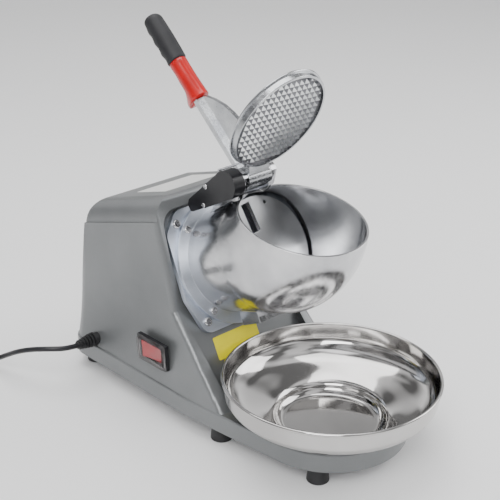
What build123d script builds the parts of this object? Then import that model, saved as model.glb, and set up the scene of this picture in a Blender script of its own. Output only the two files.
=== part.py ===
# Shaved ice machine: a hand lever presses ice against a spinning cutter disc, and the
# shavings fall into a steel bowl that stands on the base.
# Millimetres, +Z up, the bowl faces -Y, the mains switch and the cord are on -X.
# The origin is on the table under the middle of the machine.
from math import acos, atan2, cos, hypot, pi, radians, sin, tan
import os
from build123d import *

# ---------------------------------------------------------------- driving dimensions
OVERALL_LENGTH = 526.0        # bowl's front edge to the casing's rear edge
FOOT_HEIGHT = 22.0            # table to the underside of the base
BASE_HEIGHT = 24.0            # height of the base's skirt
WALL = 3.0                    # casing and base wall
BASE_HALF_WIDTH = 112.0       # half width of the base behind the bowl
NOSE_R = 98.0                 # radius of the base's round front
BEND_FROM_BOWL = 143.0        # bowl centre to where the straight sides start to taper
REAR_CORNER_R = 28.0

CASE_TOP_HALF_WIDTH = 95.0    # half width of the casing's top
CASE_FLARE = 7.0              # how far the foot of the casing spreads below CASE_FLARE_Z
CASE_FLARE_Z = 104.0
REAR_LEAN = 34.0              # how far the rear wall leans forwards at its top
REAR_TOP_Z = 245.0
FRONT_TOP_Z = 287.0
FRONT_TOP_FROM_BOWL = 218.0
FRONT_BEND_FROM_BOWL = 180.0  # the casing's front edge bends here and sweeps forwards
FRONT_BEND_Z = 148.0
FRONT_FOOT_FROM_BOWL = 84.0
TOP_STEP = 28.0               # the casing steps in by STEP_IN this far below its roof
STEP_IN = 1.5
CASE_TOP_R = 28.0
BEAD_R = 7.0
BEAD_WIDTH = 9.5              # rounded rim left on both sides of the recessed front panel
RECESS_TOP = 84.0             # top of the recess, up from the spindle axis

BOWL_RIM_R = 135.0
BOWL_RIM_Z = 99.5
BOWL_WALL = 1.6
BOWL_FOOT_R = 64.0
BOWL_FOOT_Z = 31.5            # underside of the bowl's foot, standing in the deck's well
WELL_R = 94.0                 # mouth of the well in the deck
WELL_FLOOR_R = 67.0

DRUM_TILT = 26.7              # the spindle rises towards the front by this angle
DISC_FROM_BOWL = 115.4        # bowl centre to the centre of the cutter disc's front face
DISC_Z = 224.9
DISC_R = 69.5
DISC_THICKNESS = 5.0
DRUM_CLEARANCE = 4.5          # disc to the drum round it
DRUM_R = DISC_R + DRUM_CLEARANCE
DRUM_WALL = 2.5
DRUM_NECK_STEP = 8.0          # the drum narrows by this at its flange
DRUM_NECK_R = DRUM_R - DRUM_NECK_STEP
DRUM_LENGTH = 70.0            # disc face back to the flange's front face
HOPPER_FLANGE_REACH = 9.0      # flange beyond the drum's bore
HOPPER_FLANGE_R = DRUM_R + HOPPER_FLANGE_REACH
HOPPER_FLANGE_T = 6.0
HOPPER_SCREW_IN = 7.5         # flange's rim to the circle of its screws
HOPPER_SCREW_R = HOPPER_FLANGE_R - HOPPER_SCREW_IN
HOPPER_SCREW_HEAD_R = 5.2
HOPPER_SCREW_SHANK_R = 2.1
FLANGE_T = 7.0                # mounting casting between the drum and the casing
PLATE_SCREW_X = HOPPER_FLANGE_R - 20.0
PLATE_SCREW_V = HOPPER_FLANGE_R - 19.0
PLATE_SCREW_HEAD_R = 6.0
PLATE_SCREW_SHANK_R = 2.5
COVER_SCREW_SHANK_R = 1.6
MOUTH_FROM_BOWL = 54.3        # bowl centre to the centre of the hopper's mouth
MOUTH_Z = 286.0
MOUTH_HALF_LENGTH = 78.0
MOUTH_HALF_WIDTH = 75.0
MOUTH_DROP = 12.4             # the mouth dips towards the front by this angle
HOPPER_BULGE = 7.0

PIVOT_FROM_BOWL = 140.0       # bowl centre to the lever's hinge axis
PIVOT_Z = 315.5
LEVER_SWING = 127.8           # open to closed
HUB_HALF = 19.0
HUB_R = 14.5
EAR_T = 9.0
PIN_R = 5.0
SLEEVE_R = 8.0
PRESS_CLEARANCE = 7.4         # press plate to the drum round it
PRESS_R = DRUM_R - PRESS_CLEARANCE
PRESS_LIP = 2.4
PRESS_T = 10.5
PRESS_GAP = 10.0              # plate to disc when the lever is shut
ARM_OFFSET = 8.5             # hinge axis to the handle's centre line
ARM_LEAN = 42.8               # the open handle rises towards the rear at this angle
ARM_WIDTH = 18.0
ARM_T = 7.0
RED_START = 122.0             # along the handle, from the foot of the perpendicular on the hinge
RED_END = 180.0
HANDLE_END = 250.0
GRIP_R = 13.5
RED_R = 12.5
RED_FOOT_R = 15.5

SPINDLE_R = 8.5
BEARING_R = 20.0
BEARING_W = 12.0
PULLEY_R = 42.0               # driven pulley
MOTOR_PULLEY_R = 10.0
PULLEY_W = 14.0
MOTOR_DROP = 60.0             # spindle axis to motor axis
MOTOR_R = 40.0
STATOR_L = 46.0
BELL_L = 12.0
ROTOR_R = 22.0
MOTOR_SHAFT_R = 5.0

COVER_T = 17.0                # black switch cover, measured outwards
COVER_NOSE_R = 18.0
COVER_LENGTH = 81.0
CAM_RISE = 2.0

SWITCH_FROM_BOWL = 209.0
SWITCH_Z = 86.0
SWITCH_LENGTH = 56.0
SWITCH_HEIGHT = 38.0
ROCKER_TILT = 8.0

CORD_D = 7.0
CORD_Y = 205.0
CORD_Z = 56.5
RELIEF_LENGTH = 28.0
COIL_MEAN_D = 11.0 * CORD_D
COIL_COLUMNS = 3
COIL_LAYERS = 2
COIL_X = -280.0
COIL_Y = 335.0
PLUG_LENGTH = 42.0
PLUG_R = 3.0 * CORD_D / 2
TAIL_LENGTH = 35.0

RUNNING = 0.05                # radial clearance of a running fit
GAP = 0.5                     # clearance between parts that move past each other

# ---------------------------------------------------------------- derived places
HALF_LENGTH = OVERALL_LENGTH / 2
BOWL_Y = -HALF_LENGTH + BOWL_RIM_R
NOSE_Y = BOWL_Y + 3.0
BEND_Y = BOWL_Y + BEND_FROM_BOWL
DISC_Y = BOWL_Y + DISC_FROM_BOWL
MOUTH_Y = BOWL_Y + MOUTH_FROM_BOWL
PIVOT_Y = BOWL_Y + PIVOT_FROM_BOWL
SWITCH_Y = BOWL_Y + SWITCH_FROM_BOWL
FRONT_TOP_Y = BOWL_Y + FRONT_TOP_FROM_BOWL
FRONT_BEND_Y = BOWL_Y + FRONT_BEND_FROM_BOWL
FRONT_FOOT_Y = BOWL_Y + FRONT_FOOT_FROM_BOWL
REAR_TOP_Y = HALF_LENGTH - REAR_LEAN
SEAM_Z = FOOT_HEIGHT + BASE_HEIGHT
PLATE_T = 1.5
DRUM = Plane(origin=(0, DISC_Y, DISC_Z), x_dir=(1, 0, 0),
             z_dir=(0, -cos(radians(DRUM_TILT)), sin(radians(DRUM_TILT))))
PANEL_T = -(DRUM_LENGTH + HOPPER_FLANGE_T + FLANGE_T)      # front panel, on the drum axis
PULLEY_T = PANEL_T - 24.0
MOTOR_T = PULLEY_T - PULLEY_W - 8.0
PIN_AXIS = Plane(origin=(0, PIVOT_Y, PIVOT_Z), x_dir=(0, 1, 0), z_dir=(1, 0, 0))
ARM_DIR = (cos(radians(ARM_LEAN)), sin(radians(ARM_LEAN)))
ARM_NORMAL = (sin(radians(ARM_LEAN)), -cos(radians(ARM_LEAN)))
COVER_ANGLE = -34.9           # the cover's centre line, seen from +X, below the horizontal
COVER_INNER_X = -(HUB_HALF + GAP + EAR_T + 1.0)
COVER_OUTER_X = COVER_INNER_X - COVER_T
FOOT_R = 14.0
FOOT_PAIRS = ((82, HALF_LENGTH - 21), (89, BOWL_Y + 101), (66, BOWL_Y - 43))
FOOT_PLACES = [(side * x, y) for x, y in FOOT_PAIRS for side in (-1, 1)]
FOOT_NAMES = ["foot_rear_left", "foot_rear_right", "foot_mid_left", "foot_mid_right",
              "foot_front_left", "foot_front_right"]
HUB_BOSS_R = 26.0
OUTLET_HALF = 32.0
OUTLET_REAR = -44.0
OUTLET_FRONT = -14.0
RELIEF_NECK_R = 8.0
BLADE_ANGLE = 98.0
SLOT_IN = 26.0
SLOT_OUT = DISC_R - 5.5
PAD_V = -34.0
CROSS_PIN = (21.0, 11.5)
CROSS_PIN_R = 1.4
CROSS_PIN_REACH = 38.0
CAM_BASE_R = 12.0
COVER_SCREWS = [(34.0, 10.5), (52.0, -8.0)]
SAFETY_NEAR = 27.0
SWITCH_PITCH = 4.0
TOP_LABEL = (96.0, 62.0)
FRONT_LABEL = (74.0, 30.0)
FRONT_LABEL_X = -22.0
FRONT_LABEL_V = -102.0
# free edge of the lever's web, out from the hinge axis, from the collar down to the plate's back
WEB_EDGE = [(86, 83.5), (68, 82.5), (50, 79), (35.5, 73), (23, 66), (0, 59)]
RELIEF_X = -BASE_HALF_WIDTH - 0.3
OUTER_TURN = COIL_MEAN_D / 2 + (COIL_COLUMNS + 1) * CORD_D / 2 - 0.5
CORD_ROUTE = [(RELIEF_X - RELIEF_LENGTH, CORD_Y, CORD_Z), (-157, 205.5, 58), (-175, 216, 60),
              (-188, 235, 57), (-195, 264, 45), (-197, 296, 26), (-206, 324, 9), (-222, 348, 3.5),
              (COIL_X + OUTER_TURN * cos(pi / 4), COIL_Y + OUTER_TURN * sin(pi / 4), 3.5)]


# ---------------------------------------------------------------- helpers
def on_drum(part):
    """Place a piece that is drawn on the drum's own axes."""
    return DRUM.location * part


def rod(radius, z0, z1, x=0.0, y=0.0):
    """Cylinder along Z between two heights."""
    return Pos(x, y, (z0 + z1) / 2) * Cylinder(radius, abs(z1 - z0))


def tube(outer, inner, z0, z1, x=0.0, y=0.0):
    """Ring along Z between two heights."""
    return rod(outer, z0, z1, x, y) - rod(inner, min(z0, z1) - 1, max(z0, z1) + 1, x, y)


def block(x0, x1, y0, y1, z0, z1):
    """Box from its corner values."""
    return Pos((x0 + x1) / 2, (y0 + y1) / 2, (z0 + z1) / 2) * Box(x1 - x0, y1 - y0, z1 - z0)


def pan_screw(radius, height, length, shank):
    """Screw with a domed head that stands on Z = 0, its shank going down."""
    head = rod(radius, 0, height)
    head = fillet(head.edges().group_by(Axis.Z)[-1], height * 0.6)
    across = Box(radius * 1.3, radius * 0.3, height)
    slot = Pos(0, 0, height) * (across + Rot(0, 0, 90) * across)
    return head - slot + rod(shank, -length, 0)


def side_prism(points, x0, x1):
    """Prism across the machine from an outline given as (y, z) points."""
    face = Plane.YZ * make_face(Polyline(*points, close=True))
    return Pos(x0, 0, 0) * extrude(face, x1 - x0, dir=(1, 0, 0))


def circle_points(count, radius, start=0.0):
    """Evenly spaced points on a circle, as (x, y)."""
    step = 2 * pi / count
    return [(radius * cos(start + i * step), radius * sin(start + i * step)) for i in range(count)]


# ---------------------------------------------------------------- casing and base
def plan_outline(half_width, inset):
    """Plan of the base: straight rear, sides tapering forwards to a round nose."""
    width = half_width - inset
    nose = NOSE_R - inset
    rear = HALF_LENGTH - inset
    reach = hypot(width, BEND_Y - NOSE_Y)
    angle = atan2(width, BEND_Y - NOSE_Y) + acos(nose / reach)
    touch = (nose * sin(angle), NOSE_Y + nose * cos(angle))
    edges = Polyline((-touch[0], touch[1]), (-width, BEND_Y), (-width, rear),
                     (width, rear), (width, BEND_Y), touch)
    edges += ThreePointArc(touch, (0, NOSE_Y - nose), (-touch[0], touch[1]))
    face = make_face(edges)
    return fillet(face.vertices().group_by(Axis.Y)[-1], REAR_CORNER_R - inset)


def base_body(inset, z0, z1):
    """Upright prism on the base's plan."""
    return Pos(0, 0, z0) * extrude(plan_outline(BASE_HALF_WIDTH, inset), z1 - z0)


def well(grow):
    """Dished well that the bowl's foot stands in."""
    floor_z = BOWL_FOOT_Z - grow
    mouth = WELL_R + grow * 0.7
    floor_r = WELL_FLOOR_R + grow * 0.7
    profile = Plane.XZ * make_face(Polyline((0, floor_z), (floor_r, floor_z), (mouth, SEAM_Z),
                                            (mouth, SEAM_Z + 1), (0, SEAM_Z + 1), close=True))
    return Pos(0, BOWL_Y, 0) * revolve(profile, Axis.Z)


def base_pan():
    """Cast base: a skirt, a deck with the bowl's well, and an open bay under the casing."""
    solid = base_body(0, FOOT_HEIGHT, SEAM_Z)
    solid = fillet(solid.edges().group_by(Axis.Z)[-1].filter_by(GeomType.CIRCLE).sort_by(Axis.Y)[0], 2.0)
    solid -= base_body(WALL, FOOT_HEIGHT - 1, SEAM_Z - WALL)
    support = base_body(0.2, FOOT_HEIGHT + PLATE_T, SEAM_Z - 1)
    solid += (well(WALL) & support)
    solid -= well(0)
    bay = block(-BASE_HALF_WIDTH + 22, BASE_HALF_WIDTH - 22, 40, HALF_LENGTH - 30, SEAM_Z - 2 * WALL, SEAM_Z + 1)
    bay = fillet(bay.edges().filter_by(Axis.Z), 12)
    solid -= bay
    for x, y in FOOT_PLACES:
        solid += tube(6.0, 2.5, FOOT_HEIGHT + PLATE_T, SEAM_Z - WALL, x, y) & support
    return solid


def bottom_plate():
    """Flat sheet that closes the base from below, with vent slots under the motor."""
    sheet = base_body(WALL + 0.4, FOOT_HEIGHT, FOOT_HEIGHT + PLATE_T)
    for i in range(6):
        sheet -= Pos(0, 95 + 16 * i, FOOT_HEIGHT) * extrude(SlotOverall(90, 5), 3 * PLATE_T)
    for x, y in FOOT_PLACES:
        sheet -= rod(2.5, FOOT_HEIGHT - 1, FOOT_HEIGHT + 2 * PLATE_T, x, y)
    return sheet


def foot(x, y):
    """Conical rubber foot with a screw well in its underside."""
    body = Pos(x, y, FOOT_HEIGHT / 2) * Cone(FOOT_R, FOOT_R - 2.5, FOOT_HEIGHT)
    body = fillet(body.edges().group_by(Axis.Z)[0], 1.5)
    body -= rod(6.0, -1, 8.0, x, y)
    body -= rod(2.5, 7, FOOT_HEIGHT + 1, x, y)
    return body


def foot_screw(x, y):
    """Screw from inside a foot up into the base's boss."""
    return rod(4.5, 5.0, 8.0, x, y) + rod(2.5, 8.0, FOOT_HEIGHT + 7, x, y)


def case_profile():
    """Side profile of the casing, as (y, z) points, run on a little below the seam."""
    below = 14.0
    front_slope = (FRONT_BEND_Y - FRONT_FOOT_Y) / (FRONT_BEND_Z - SEAM_Z)
    rear_slope = (HALF_LENGTH - REAR_TOP_Y) / (REAR_TOP_Z - SEAM_Z)
    return [(FRONT_FOOT_Y - below * front_slope, SEAM_Z - below), (FRONT_BEND_Y, FRONT_BEND_Z),
            (FRONT_TOP_Y, FRONT_TOP_Z), (REAR_TOP_Y, REAR_TOP_Z),
            (HALF_LENGTH + below * rear_slope, SEAM_Z - below)]


def case_form(inset):
    """The casing without its front recess: flared sides cut to the side profile."""
    shoulder = CASE_TOP_HALF_WIDTH + (BASE_HALF_WIDTH - CASE_TOP_HALF_WIDTH - CASE_FLARE) * 0.55
    levels = [(SEAM_Z - 14, BASE_HALF_WIDTH + 1.0), (CASE_FLARE_Z, shoulder),
              (CASE_FLARE_Z + 66, CASE_TOP_HALF_WIDTH + 2.0), (FRONT_TOP_Z + 20, CASE_TOP_HALF_WIDTH - 1.0)]
    flare = loft([Pos(0, 0, z) * plan_outline(width, inset) for z, width in levels])
    face = make_face(Polyline(*case_profile(), close=True))
    if inset:
        face = offset(face, -inset, kind=Kind.INTERSECTION)
    return flare & extrude(Plane.YZ * face, 150, both=True)


def on_front_edge(edge, inset):
    """True for an edge that runs up one side of the casing's front."""
    at = edge.center()
    foot, bend, top = case_profile()[:3]
    low, high = (foot, bend) if at.Z < FRONT_BEND_Z else (bend, top)
    front_y = low[0] + (high[0] - low[0]) * (at.Z - low[1]) / (high[1] - low[1])
    return abs(at.X) > 50 and abs(at.Y - front_y) < 3 + 2 * inset


def roof_prism(inset):
    """Room under the roof: rounded above the styling step and wide below it."""
    half = CASE_TOP_HALF_WIDTH - STEP_IN - inset
    reach = 400.0
    crown = Pos(0, -reach / 2 - inset) * RectangleRounded(2 * half, reach, CASE_TOP_R - inset)
    wide = Pos(0, -TOP_STEP - inset - reach / 2) * Rectangle(300, reach)
    along = Vector(0, REAR_TOP_Y - FRONT_TOP_Y, REAR_TOP_Z - FRONT_TOP_Z)
    roof = Plane(origin=(0, FRONT_TOP_Y, FRONT_TOP_Z), x_dir=(-1, 0, 0), z_dir=along)
    return extrude(roof * (crown + wide), reach, both=True)


def rounded_case(inset):
    """Casing form with its roof, rear top edge and front edges rounded."""
    form = case_form(inset)
    front = [e for e in form.edges() if on_front_edge(e, inset)]
    top = [e for e in form.edges() if abs(e.center().X) < 1 and e.center().Y < FRONT_TOP_Y + 20
           and e.center().Z > REAR_TOP_Z - 12 - inset]
    form = fillet(front + top, BEAD_R - inset / 2)
    rear = [e for e in form.edges() if abs(e.center().X) < 1 and e.center().Y > REAR_TOP_Y - 20
            and e.center().Z > REAR_TOP_Z - 12 - inset]
    form = fillet(rear, CASE_TOP_R - inset)
    return form & roof_prism(inset)


def front_recess(grow):
    """Everything in front of the flat front panel, between the two beads."""
    width = 2 * (CASE_TOP_HALF_WIDTH - BEAD_WIDTH + grow)
    top = RECESS_TOP + grow
    bottom = -240.0
    face = Pos(0, (top + bottom) / 2) * RectangleRounded(width, top - bottom, 20 + grow)
    return on_drum(Pos(0, 0, PANEL_T - grow) * extrude(face, 260))


def housing_shell():
    """Painted casing with a recessed front panel, louvres and cut-outs."""
    outer = rounded_case(0) - front_recess(0)
    inner = rounded_case(WALL) - front_recess(WALL)
    shell = (outer - inner) & block(-200, 200, -200, 400, SEAM_Z, 400)
    shell -= on_drum(rod(HUB_BOSS_R + GAP, PANEL_T - 20, PANEL_T + 20))
    for x, v in plate_screw_places():
        shell -= on_drum(rod(PLATE_SCREW_SHANK_R, PANEL_T - 20, PANEL_T + 20, x, v))
    shell -= switch_frame() * block(-22, 22, -13, 13, -30, 10)
    half_l = SWITCH_LENGTH / 2 + 0.1
    half_h = SWITCH_HEIGHT / 2 + 0.1
    shell -= switch_frame() * block(-half_l, half_l, -half_h, half_h, -0.01, 6)
    shell -= Pos(0, CORD_Y, CORD_Z) * Rot(0, -90, 0) * rod(RELIEF_NECK_R + 0.2, 80, 130)
    for row in range(7):
        slot = Rot(90, 0, 0) * extrude(SlotOverall(70, 5), 30, both=True)
        shell -= Pos(0, HALF_LENGTH - 10, 90 + 14 * row) * slot
    return shell


# ---------------------------------------------------------------- drum, hopper and flange


def plate_screw_places():
    """Screws that hold the mounting casting to the casing."""
    return [(sx * PLATE_SCREW_X, sy * PLATE_SCREW_V) for sx in (-1, 1) for sy in (-1, 1)]


def drum_flange():
    """Mounting casting: a shield-shaped plate with the spindle's bearing boss."""
    right = [(HOPPER_FLANGE_R - 25, HOPPER_FLANGE_R - 2), (HOPPER_FLANGE_R - 1, 54),
             (HOPPER_FLANGE_R + 1.5, -30), (HOPPER_FLANGE_R - 13, 4 - HOPPER_FLANGE_R)]
    left = [(-x, v) for x, v in reversed(right)]
    outline = make_face(Polyline(*right, *left, close=True))
    outline = fillet(outline.vertices(), 16)
    plate = Pos(0, 0, PANEL_T) * extrude(outline, FLANGE_T)
    boss = rod(HUB_BOSS_R, PANEL_T - 18, -DRUM_LENGTH + 34)
    body = plate + boss
    body -= rod(BEARING_R, PANEL_T - 19, PANEL_T - 18 + BEARING_W)
    body -= rod(BEARING_R, -DRUM_LENGTH + 34 - BEARING_W, -DRUM_LENGTH + 35)
    body -= rod(SPINDLE_R + 4, PANEL_T - 20, 0)
    for x, v in plate_screw_places():
        body -= rod(PLATE_SCREW_SHANK_R, PANEL_T - 1, PANEL_T + FLANGE_T + 1, x, v)
    for x, v in circle_points(4, HOPPER_SCREW_R, pi / 4):
        body -= rod(HOPPER_SCREW_SHANK_R, PANEL_T - 1, PANEL_T + FLANGE_T + 1, x, v)
    return on_drum(body)


def elbow(grow, far_grow):
    """Hopper form: round sections that swing forwards from the drum to the mouth."""
    tilt = radians(DRUM_TILT)
    dip = radians(MOUTH_DROP)
    # the drum's face and the mouth's plane meet in a line above the drum
    n1 = (-cos(tilt), sin(tilt))
    n2 = (-sin(dip), cos(dip))
    d1 = n1[0] * DISC_Y + n1[1] * DISC_Z
    d2 = n2[0] * MOUTH_Y + n2[1] * MOUTH_Z
    det = n1[0] * n2[1] - n1[1] * n2[0]
    hy = (d1 * n2[1] - n1[1] * d2) / det
    hz = (n1[0] * d2 - d1 * n2[0]) / det
    start = hypot(DISC_Y - hy, DISC_Z - hz)
    end = hypot(MOUTH_Y - hy, MOUTH_Z - hz)
    steps = 6
    sections = []
    for i in range(steps + 1):
        share = i / steps
        angle = tilt + (pi / 2 - dip - tilt) * share
        near = start - DRUM_R + (end - MOUTH_HALF_LENGTH - start + DRUM_R) * share - grow
        far = start + DRUM_R + (end + MOUTH_HALF_LENGTH - start - DRUM_R) * share + grow
        far += 4 * HOPPER_BULGE * share * (1 - share)
        half = DRUM_R + (MOUTH_HALF_WIDTH - DRUM_R) * share + grow
        half += 2 * HOPPER_BULGE * share * (1 - share)
        middle = (near + far) / 2
        centre = (0, hy - middle * sin(angle), hz - middle * cos(angle))
        plane = Plane(origin=centre, x_dir=(1, 0, 0), z_dir=(0, -cos(angle), sin(angle)))
        sections.append(plane * Ellipse(half, (far - near) / 2))
    return loft(sections)


def ear(x0):
    """One of the two lugs that carry the lever's hinge pin."""
    axis_y, axis_z = PIVOT_Y, PIVOT_Z
    foot_front = (DISC_Y + 62 * sin(radians(DRUM_TILT)), DISC_Z + 62 * cos(radians(DRUM_TILT)))
    back = 52.0
    foot_back = (foot_front[0] + back * cos(radians(DRUM_TILT)), foot_front[1] - back * sin(radians(DRUM_TILT)))
    web = side_prism([foot_front, (axis_y - HUB_R, axis_z), (axis_y, axis_z + HUB_R * 0.4),
                      (axis_y + HUB_R + 3, axis_z), (foot_back[0], foot_back[1])], x0, x0 + EAR_T)
    eye = Pos(x0, PIVOT_Y, PIVOT_Z) * Rot(0, 90, 0) * rod(HUB_R, 0, EAR_T)
    return web + eye


def hopper():
    """Polished casting: drum with its flange, the scoop-shaped hopper and the hinge lugs."""
    neck = DRUM_NECK_R + DRUM_WALL
    outer = Pos(0, 0, -DRUM_LENGTH / 2) * Cone(neck, DRUM_R + DRUM_WALL, DRUM_LENGTH)
    inner = Pos(0, 0, -DRUM_LENGTH / 2) * Cone(DRUM_NECK_R, DRUM_R, DRUM_LENGTH)
    flange = rod(HOPPER_FLANGE_R, -DRUM_LENGTH - HOPPER_FLANGE_T, -DRUM_LENGTH)
    shell = on_drum(outer + flange) + elbow(DRUM_WALL, DRUM_WALL)
    lugs = ear(HUB_HALF + GAP) + ear(-HUB_HALF - GAP - EAR_T)
    cavity = on_drum(inner + rod(DRUM_NECK_R, -DRUM_LENGTH - HOPPER_FLANGE_T - 1, -DRUM_LENGTH + 0.5))
    cavity += elbow(0, 0)
    body = shell + lugs - cavity
    body -= mouth_cutter()
    body -= Pos(0, PIVOT_Y, PIVOT_Z) * Rot(0, 90, 0) * rod(PIN_R, 0, 60)
    body -= Pos(0, PIVOT_Y, PIVOT_Z) * Rot(0, 90, 0) * rod(SLEEVE_R + RUNNING, -60, 0)
    body -= hub_notch()
    body -= on_drum(block(-OUTLET_HALF, OUTLET_HALF, -120, -20, OUTLET_REAR, OUTLET_FRONT))
    body = body + chute()
    for x, v in circle_points(4, HOPPER_SCREW_R, pi / 4):
        body -= on_drum(rod(HOPPER_SCREW_SHANK_R, -DRUM_LENGTH - HOPPER_FLANGE_T - 1, -DRUM_LENGTH + 20, x, v))
    return body


def hopper_envelope(grow):
    """Outside of the drum and hopper, grown by a clearance."""
    neck = DRUM_NECK_R + DRUM_WALL + grow
    cone = Pos(0, 0, -DRUM_LENGTH / 2) * Cone(neck, DRUM_R + DRUM_WALL + grow, DRUM_LENGTH)
    flange = rod(HOPPER_FLANGE_R + grow, -DRUM_LENGTH - HOPPER_FLANGE_T - FLANGE_T, -DRUM_LENGTH + grow)
    return on_drum(cone + flange) + elbow(DRUM_WALL + grow, DRUM_WALL + grow)


def mouth_cutter():
    """Trims the hopper level with its mouth."""
    dip = radians(MOUTH_DROP)
    plane = Plane(origin=(0, MOUTH_Y, MOUTH_Z), x_dir=(1, 0, 0), z_dir=(0, -sin(dip), cos(dip)))
    return plane.location * block(-120, 120, -150, MOUTH_HALF_LENGTH + 1, 0, 60)


def hub_notch():
    """Room in the hopper's rear edge for the lever's hub and neck."""
    notch = side_prism([(PIVOT_Y - 45, PIVOT_Z - 34), (PIVOT_Y - 45, PIVOT_Z + 20), (PIVOT_Y + 30, PIVOT_Z + 20),
                        (PIVOT_Y + 30, PIVOT_Z - 8), (PIVOT_Y + 6, PIVOT_Z - 24)], -HUB_HALF - GAP, HUB_HALF + GAP)
    swing = Pos(0, PIVOT_Y, PIVOT_Z) * Rot(0, 90, 0) * rod(HUB_R + 2, -HUB_HALF - GAP, HUB_HALF + GAP)
    return notch + swing


def chute():
    """Short skirt round the outlet in the drum's underside."""
    outer = block(-OUTLET_HALF - 2, OUTLET_HALF + 2, -82, -60, OUTLET_REAR - 2, OUTLET_FRONT + 2)
    inner = block(-OUTLET_HALF, OUTLET_HALF, -120, -20, OUTLET_REAR, OUTLET_FRONT)
    drum = Pos(0, 0, -DRUM_LENGTH / 2) * Cone(DRUM_NECK_R, DRUM_R, DRUM_LENGTH)
    return on_drum(outer - inner - drum)


def hopper_screws():
    """Four domed screws through the drum's flange."""
    screw = pan_screw(HOPPER_SCREW_HEAD_R, 3.0, HOPPER_FLANGE_T + FLANGE_T, HOPPER_SCREW_SHANK_R)
    return [on_drum(Pos(x, v, -DRUM_LENGTH) * screw)
            for x, v in circle_points(4, HOPPER_SCREW_R, pi / 4)]


def flange_screws():
    """Four domed screws that hold the mounting casting to the casing."""
    screw = pan_screw(PLATE_SCREW_HEAD_R, 3.6, FLANGE_T + WALL, PLATE_SCREW_SHANK_R)
    return [on_drum(Pos(x, v, PANEL_T + FLANGE_T) * screw)
            for x, v in plate_screw_places()]


# ---------------------------------------------------------------- spindle and drive
def spindle_shaft():
    """Steel spindle with the flange that carries the cutter disc."""
    shaft = rod(SPINDLE_R, PULLEY_T - PULLEY_W - 6, -DISC_THICKNESS)
    flange = rod(24, -DISC_THICKNESS - 7, -DISC_THICKNESS)
    return on_drum(shaft + flange)


def blade_frames():
    """The two blade seats, half a turn apart."""
    return [Rot(0, 0, BLADE_ANGLE - 90 + 180 * i) for i in range(2)]


def cutter_disc():
    """Steel disc with two blade slots, two holes for a pin spanner and a centre mark."""
    disc = rod(DISC_R, -DISC_THICKNESS, 0)
    for frame in blade_frames():
        disc -= frame * block(-8, 6, SLOT_IN, SLOT_OUT, -DISC_THICKNESS - 1, 1)
    for i in range(2):
        x, y = circle_points(1, 61.5, radians(69.5 + 180 * i))[0]
        disc -= rod(2.2, -DISC_THICKNESS - 1, 1, x, y)
    return on_drum(disc)


def blade():
    """Cutting blade on its holder, in the disc's slot."""
    profile = make_face(Polyline((0, 0.8), (5.8, -1.0), (5.8, -DISC_THICKNESS), (20, -DISC_THICKNESS),
                                 (20, -DISC_THICKNESS - 3), (5, -DISC_THICKNESS - 3), close=True))
    length = SLOT_OUT - SLOT_IN - 1
    return Pos(0, SLOT_OUT - 0.5, 0) * Rot(90, 0, 0) * extrude(profile, length)


def blades():
    """Both blades."""
    return [on_drum(frame * blade()) for frame in blade_frames()]


def blade_screws():
    """Two screws on the back of each blade."""
    back = -DISC_THICKNESS - 3
    return [on_drum(frame * rod(3.2, back - 2.5, back, 14, y)) for frame in blade_frames() for y in (35, 55)]


def bearing(z0, z1):
    """Sealed ball bearing, drawn as one ring."""
    return on_drum(tube(BEARING_R, SPINDLE_R + RUNNING, z0, z1))


def pulley(outer, bore, x, v):
    """Flat-belt pulley with two rims."""
    body = rod(outer, PULLEY_T - PULLEY_W, PULLEY_T, x, v)
    body += rod(outer + 2, PULLEY_T - 1.5, PULLEY_T, x, v)
    body += rod(outer + 2, PULLEY_T - PULLEY_W, PULLEY_T - PULLEY_W + 1.5, x, v)
    return body - rod(bore, PULLEY_T - PULLEY_W - 1, PULLEY_T + 1, x, v)


def driven_pulley():
    """Large pulley on the spindle, with lightening holes."""
    body = pulley(PULLEY_R, SPINDLE_R, 0, 0)
    for x, y in circle_points(5, PULLEY_R * 0.62):
        body -= rod(7.5, PULLEY_T - PULLEY_W - 1, PULLEY_T + 1, x, y)
    return on_drum(body)


def spindle_nut():
    """Hexagon nut that locks the large pulley."""
    nut = Pos(0, 0, PULLEY_T - PULLEY_W - 5.5) * extrude(RegularPolygon(13, 6), 5.5)
    return on_drum(nut - rod(SPINDLE_R, PULLEY_T - PULLEY_W - 6, PULLEY_T))


def drive_belt():
    """Belt round both pulleys, a hair clear of them."""
    clear = 0.3
    thick = 2.0
    z0 = PULLEY_T - PULLEY_W + 2.2
    z1 = PULLEY_T - 2.2

    def loop(extra):
        big = Circle(PULLEY_R + extra)
        small = Pos(0, -MOTOR_DROP) * Circle(MOTOR_PULLEY_R + extra)
        lean = acos((PULLEY_R - MOTOR_PULLEY_R) / MOTOR_DROP)
        r1 = PULLEY_R + extra
        r2 = MOTOR_PULLEY_R + extra
        pts = [(r1 * sin(lean), -r1 * cos(lean)), (r2 * sin(lean), -MOTOR_DROP - r2 * cos(lean)),
               (-r2 * sin(lean), -MOTOR_DROP - r2 * cos(lean)), (-r1 * sin(lean), -r1 * cos(lean))]
        return big + small + make_face(Polyline(*pts, close=True))

    face = loop(clear + thick) - loop(clear)
    return on_drum(Pos(0, 0, z0) * extrude(face, z1 - z0))


def motor_can():
    """Laminated stator in its steel band."""
    return on_drum(tube(MOTOR_R, ROTOR_R + 1, MOTOR_T - BELL_L - STATOR_L, MOTOR_T - BELL_L, 0, -MOTOR_DROP))


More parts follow.
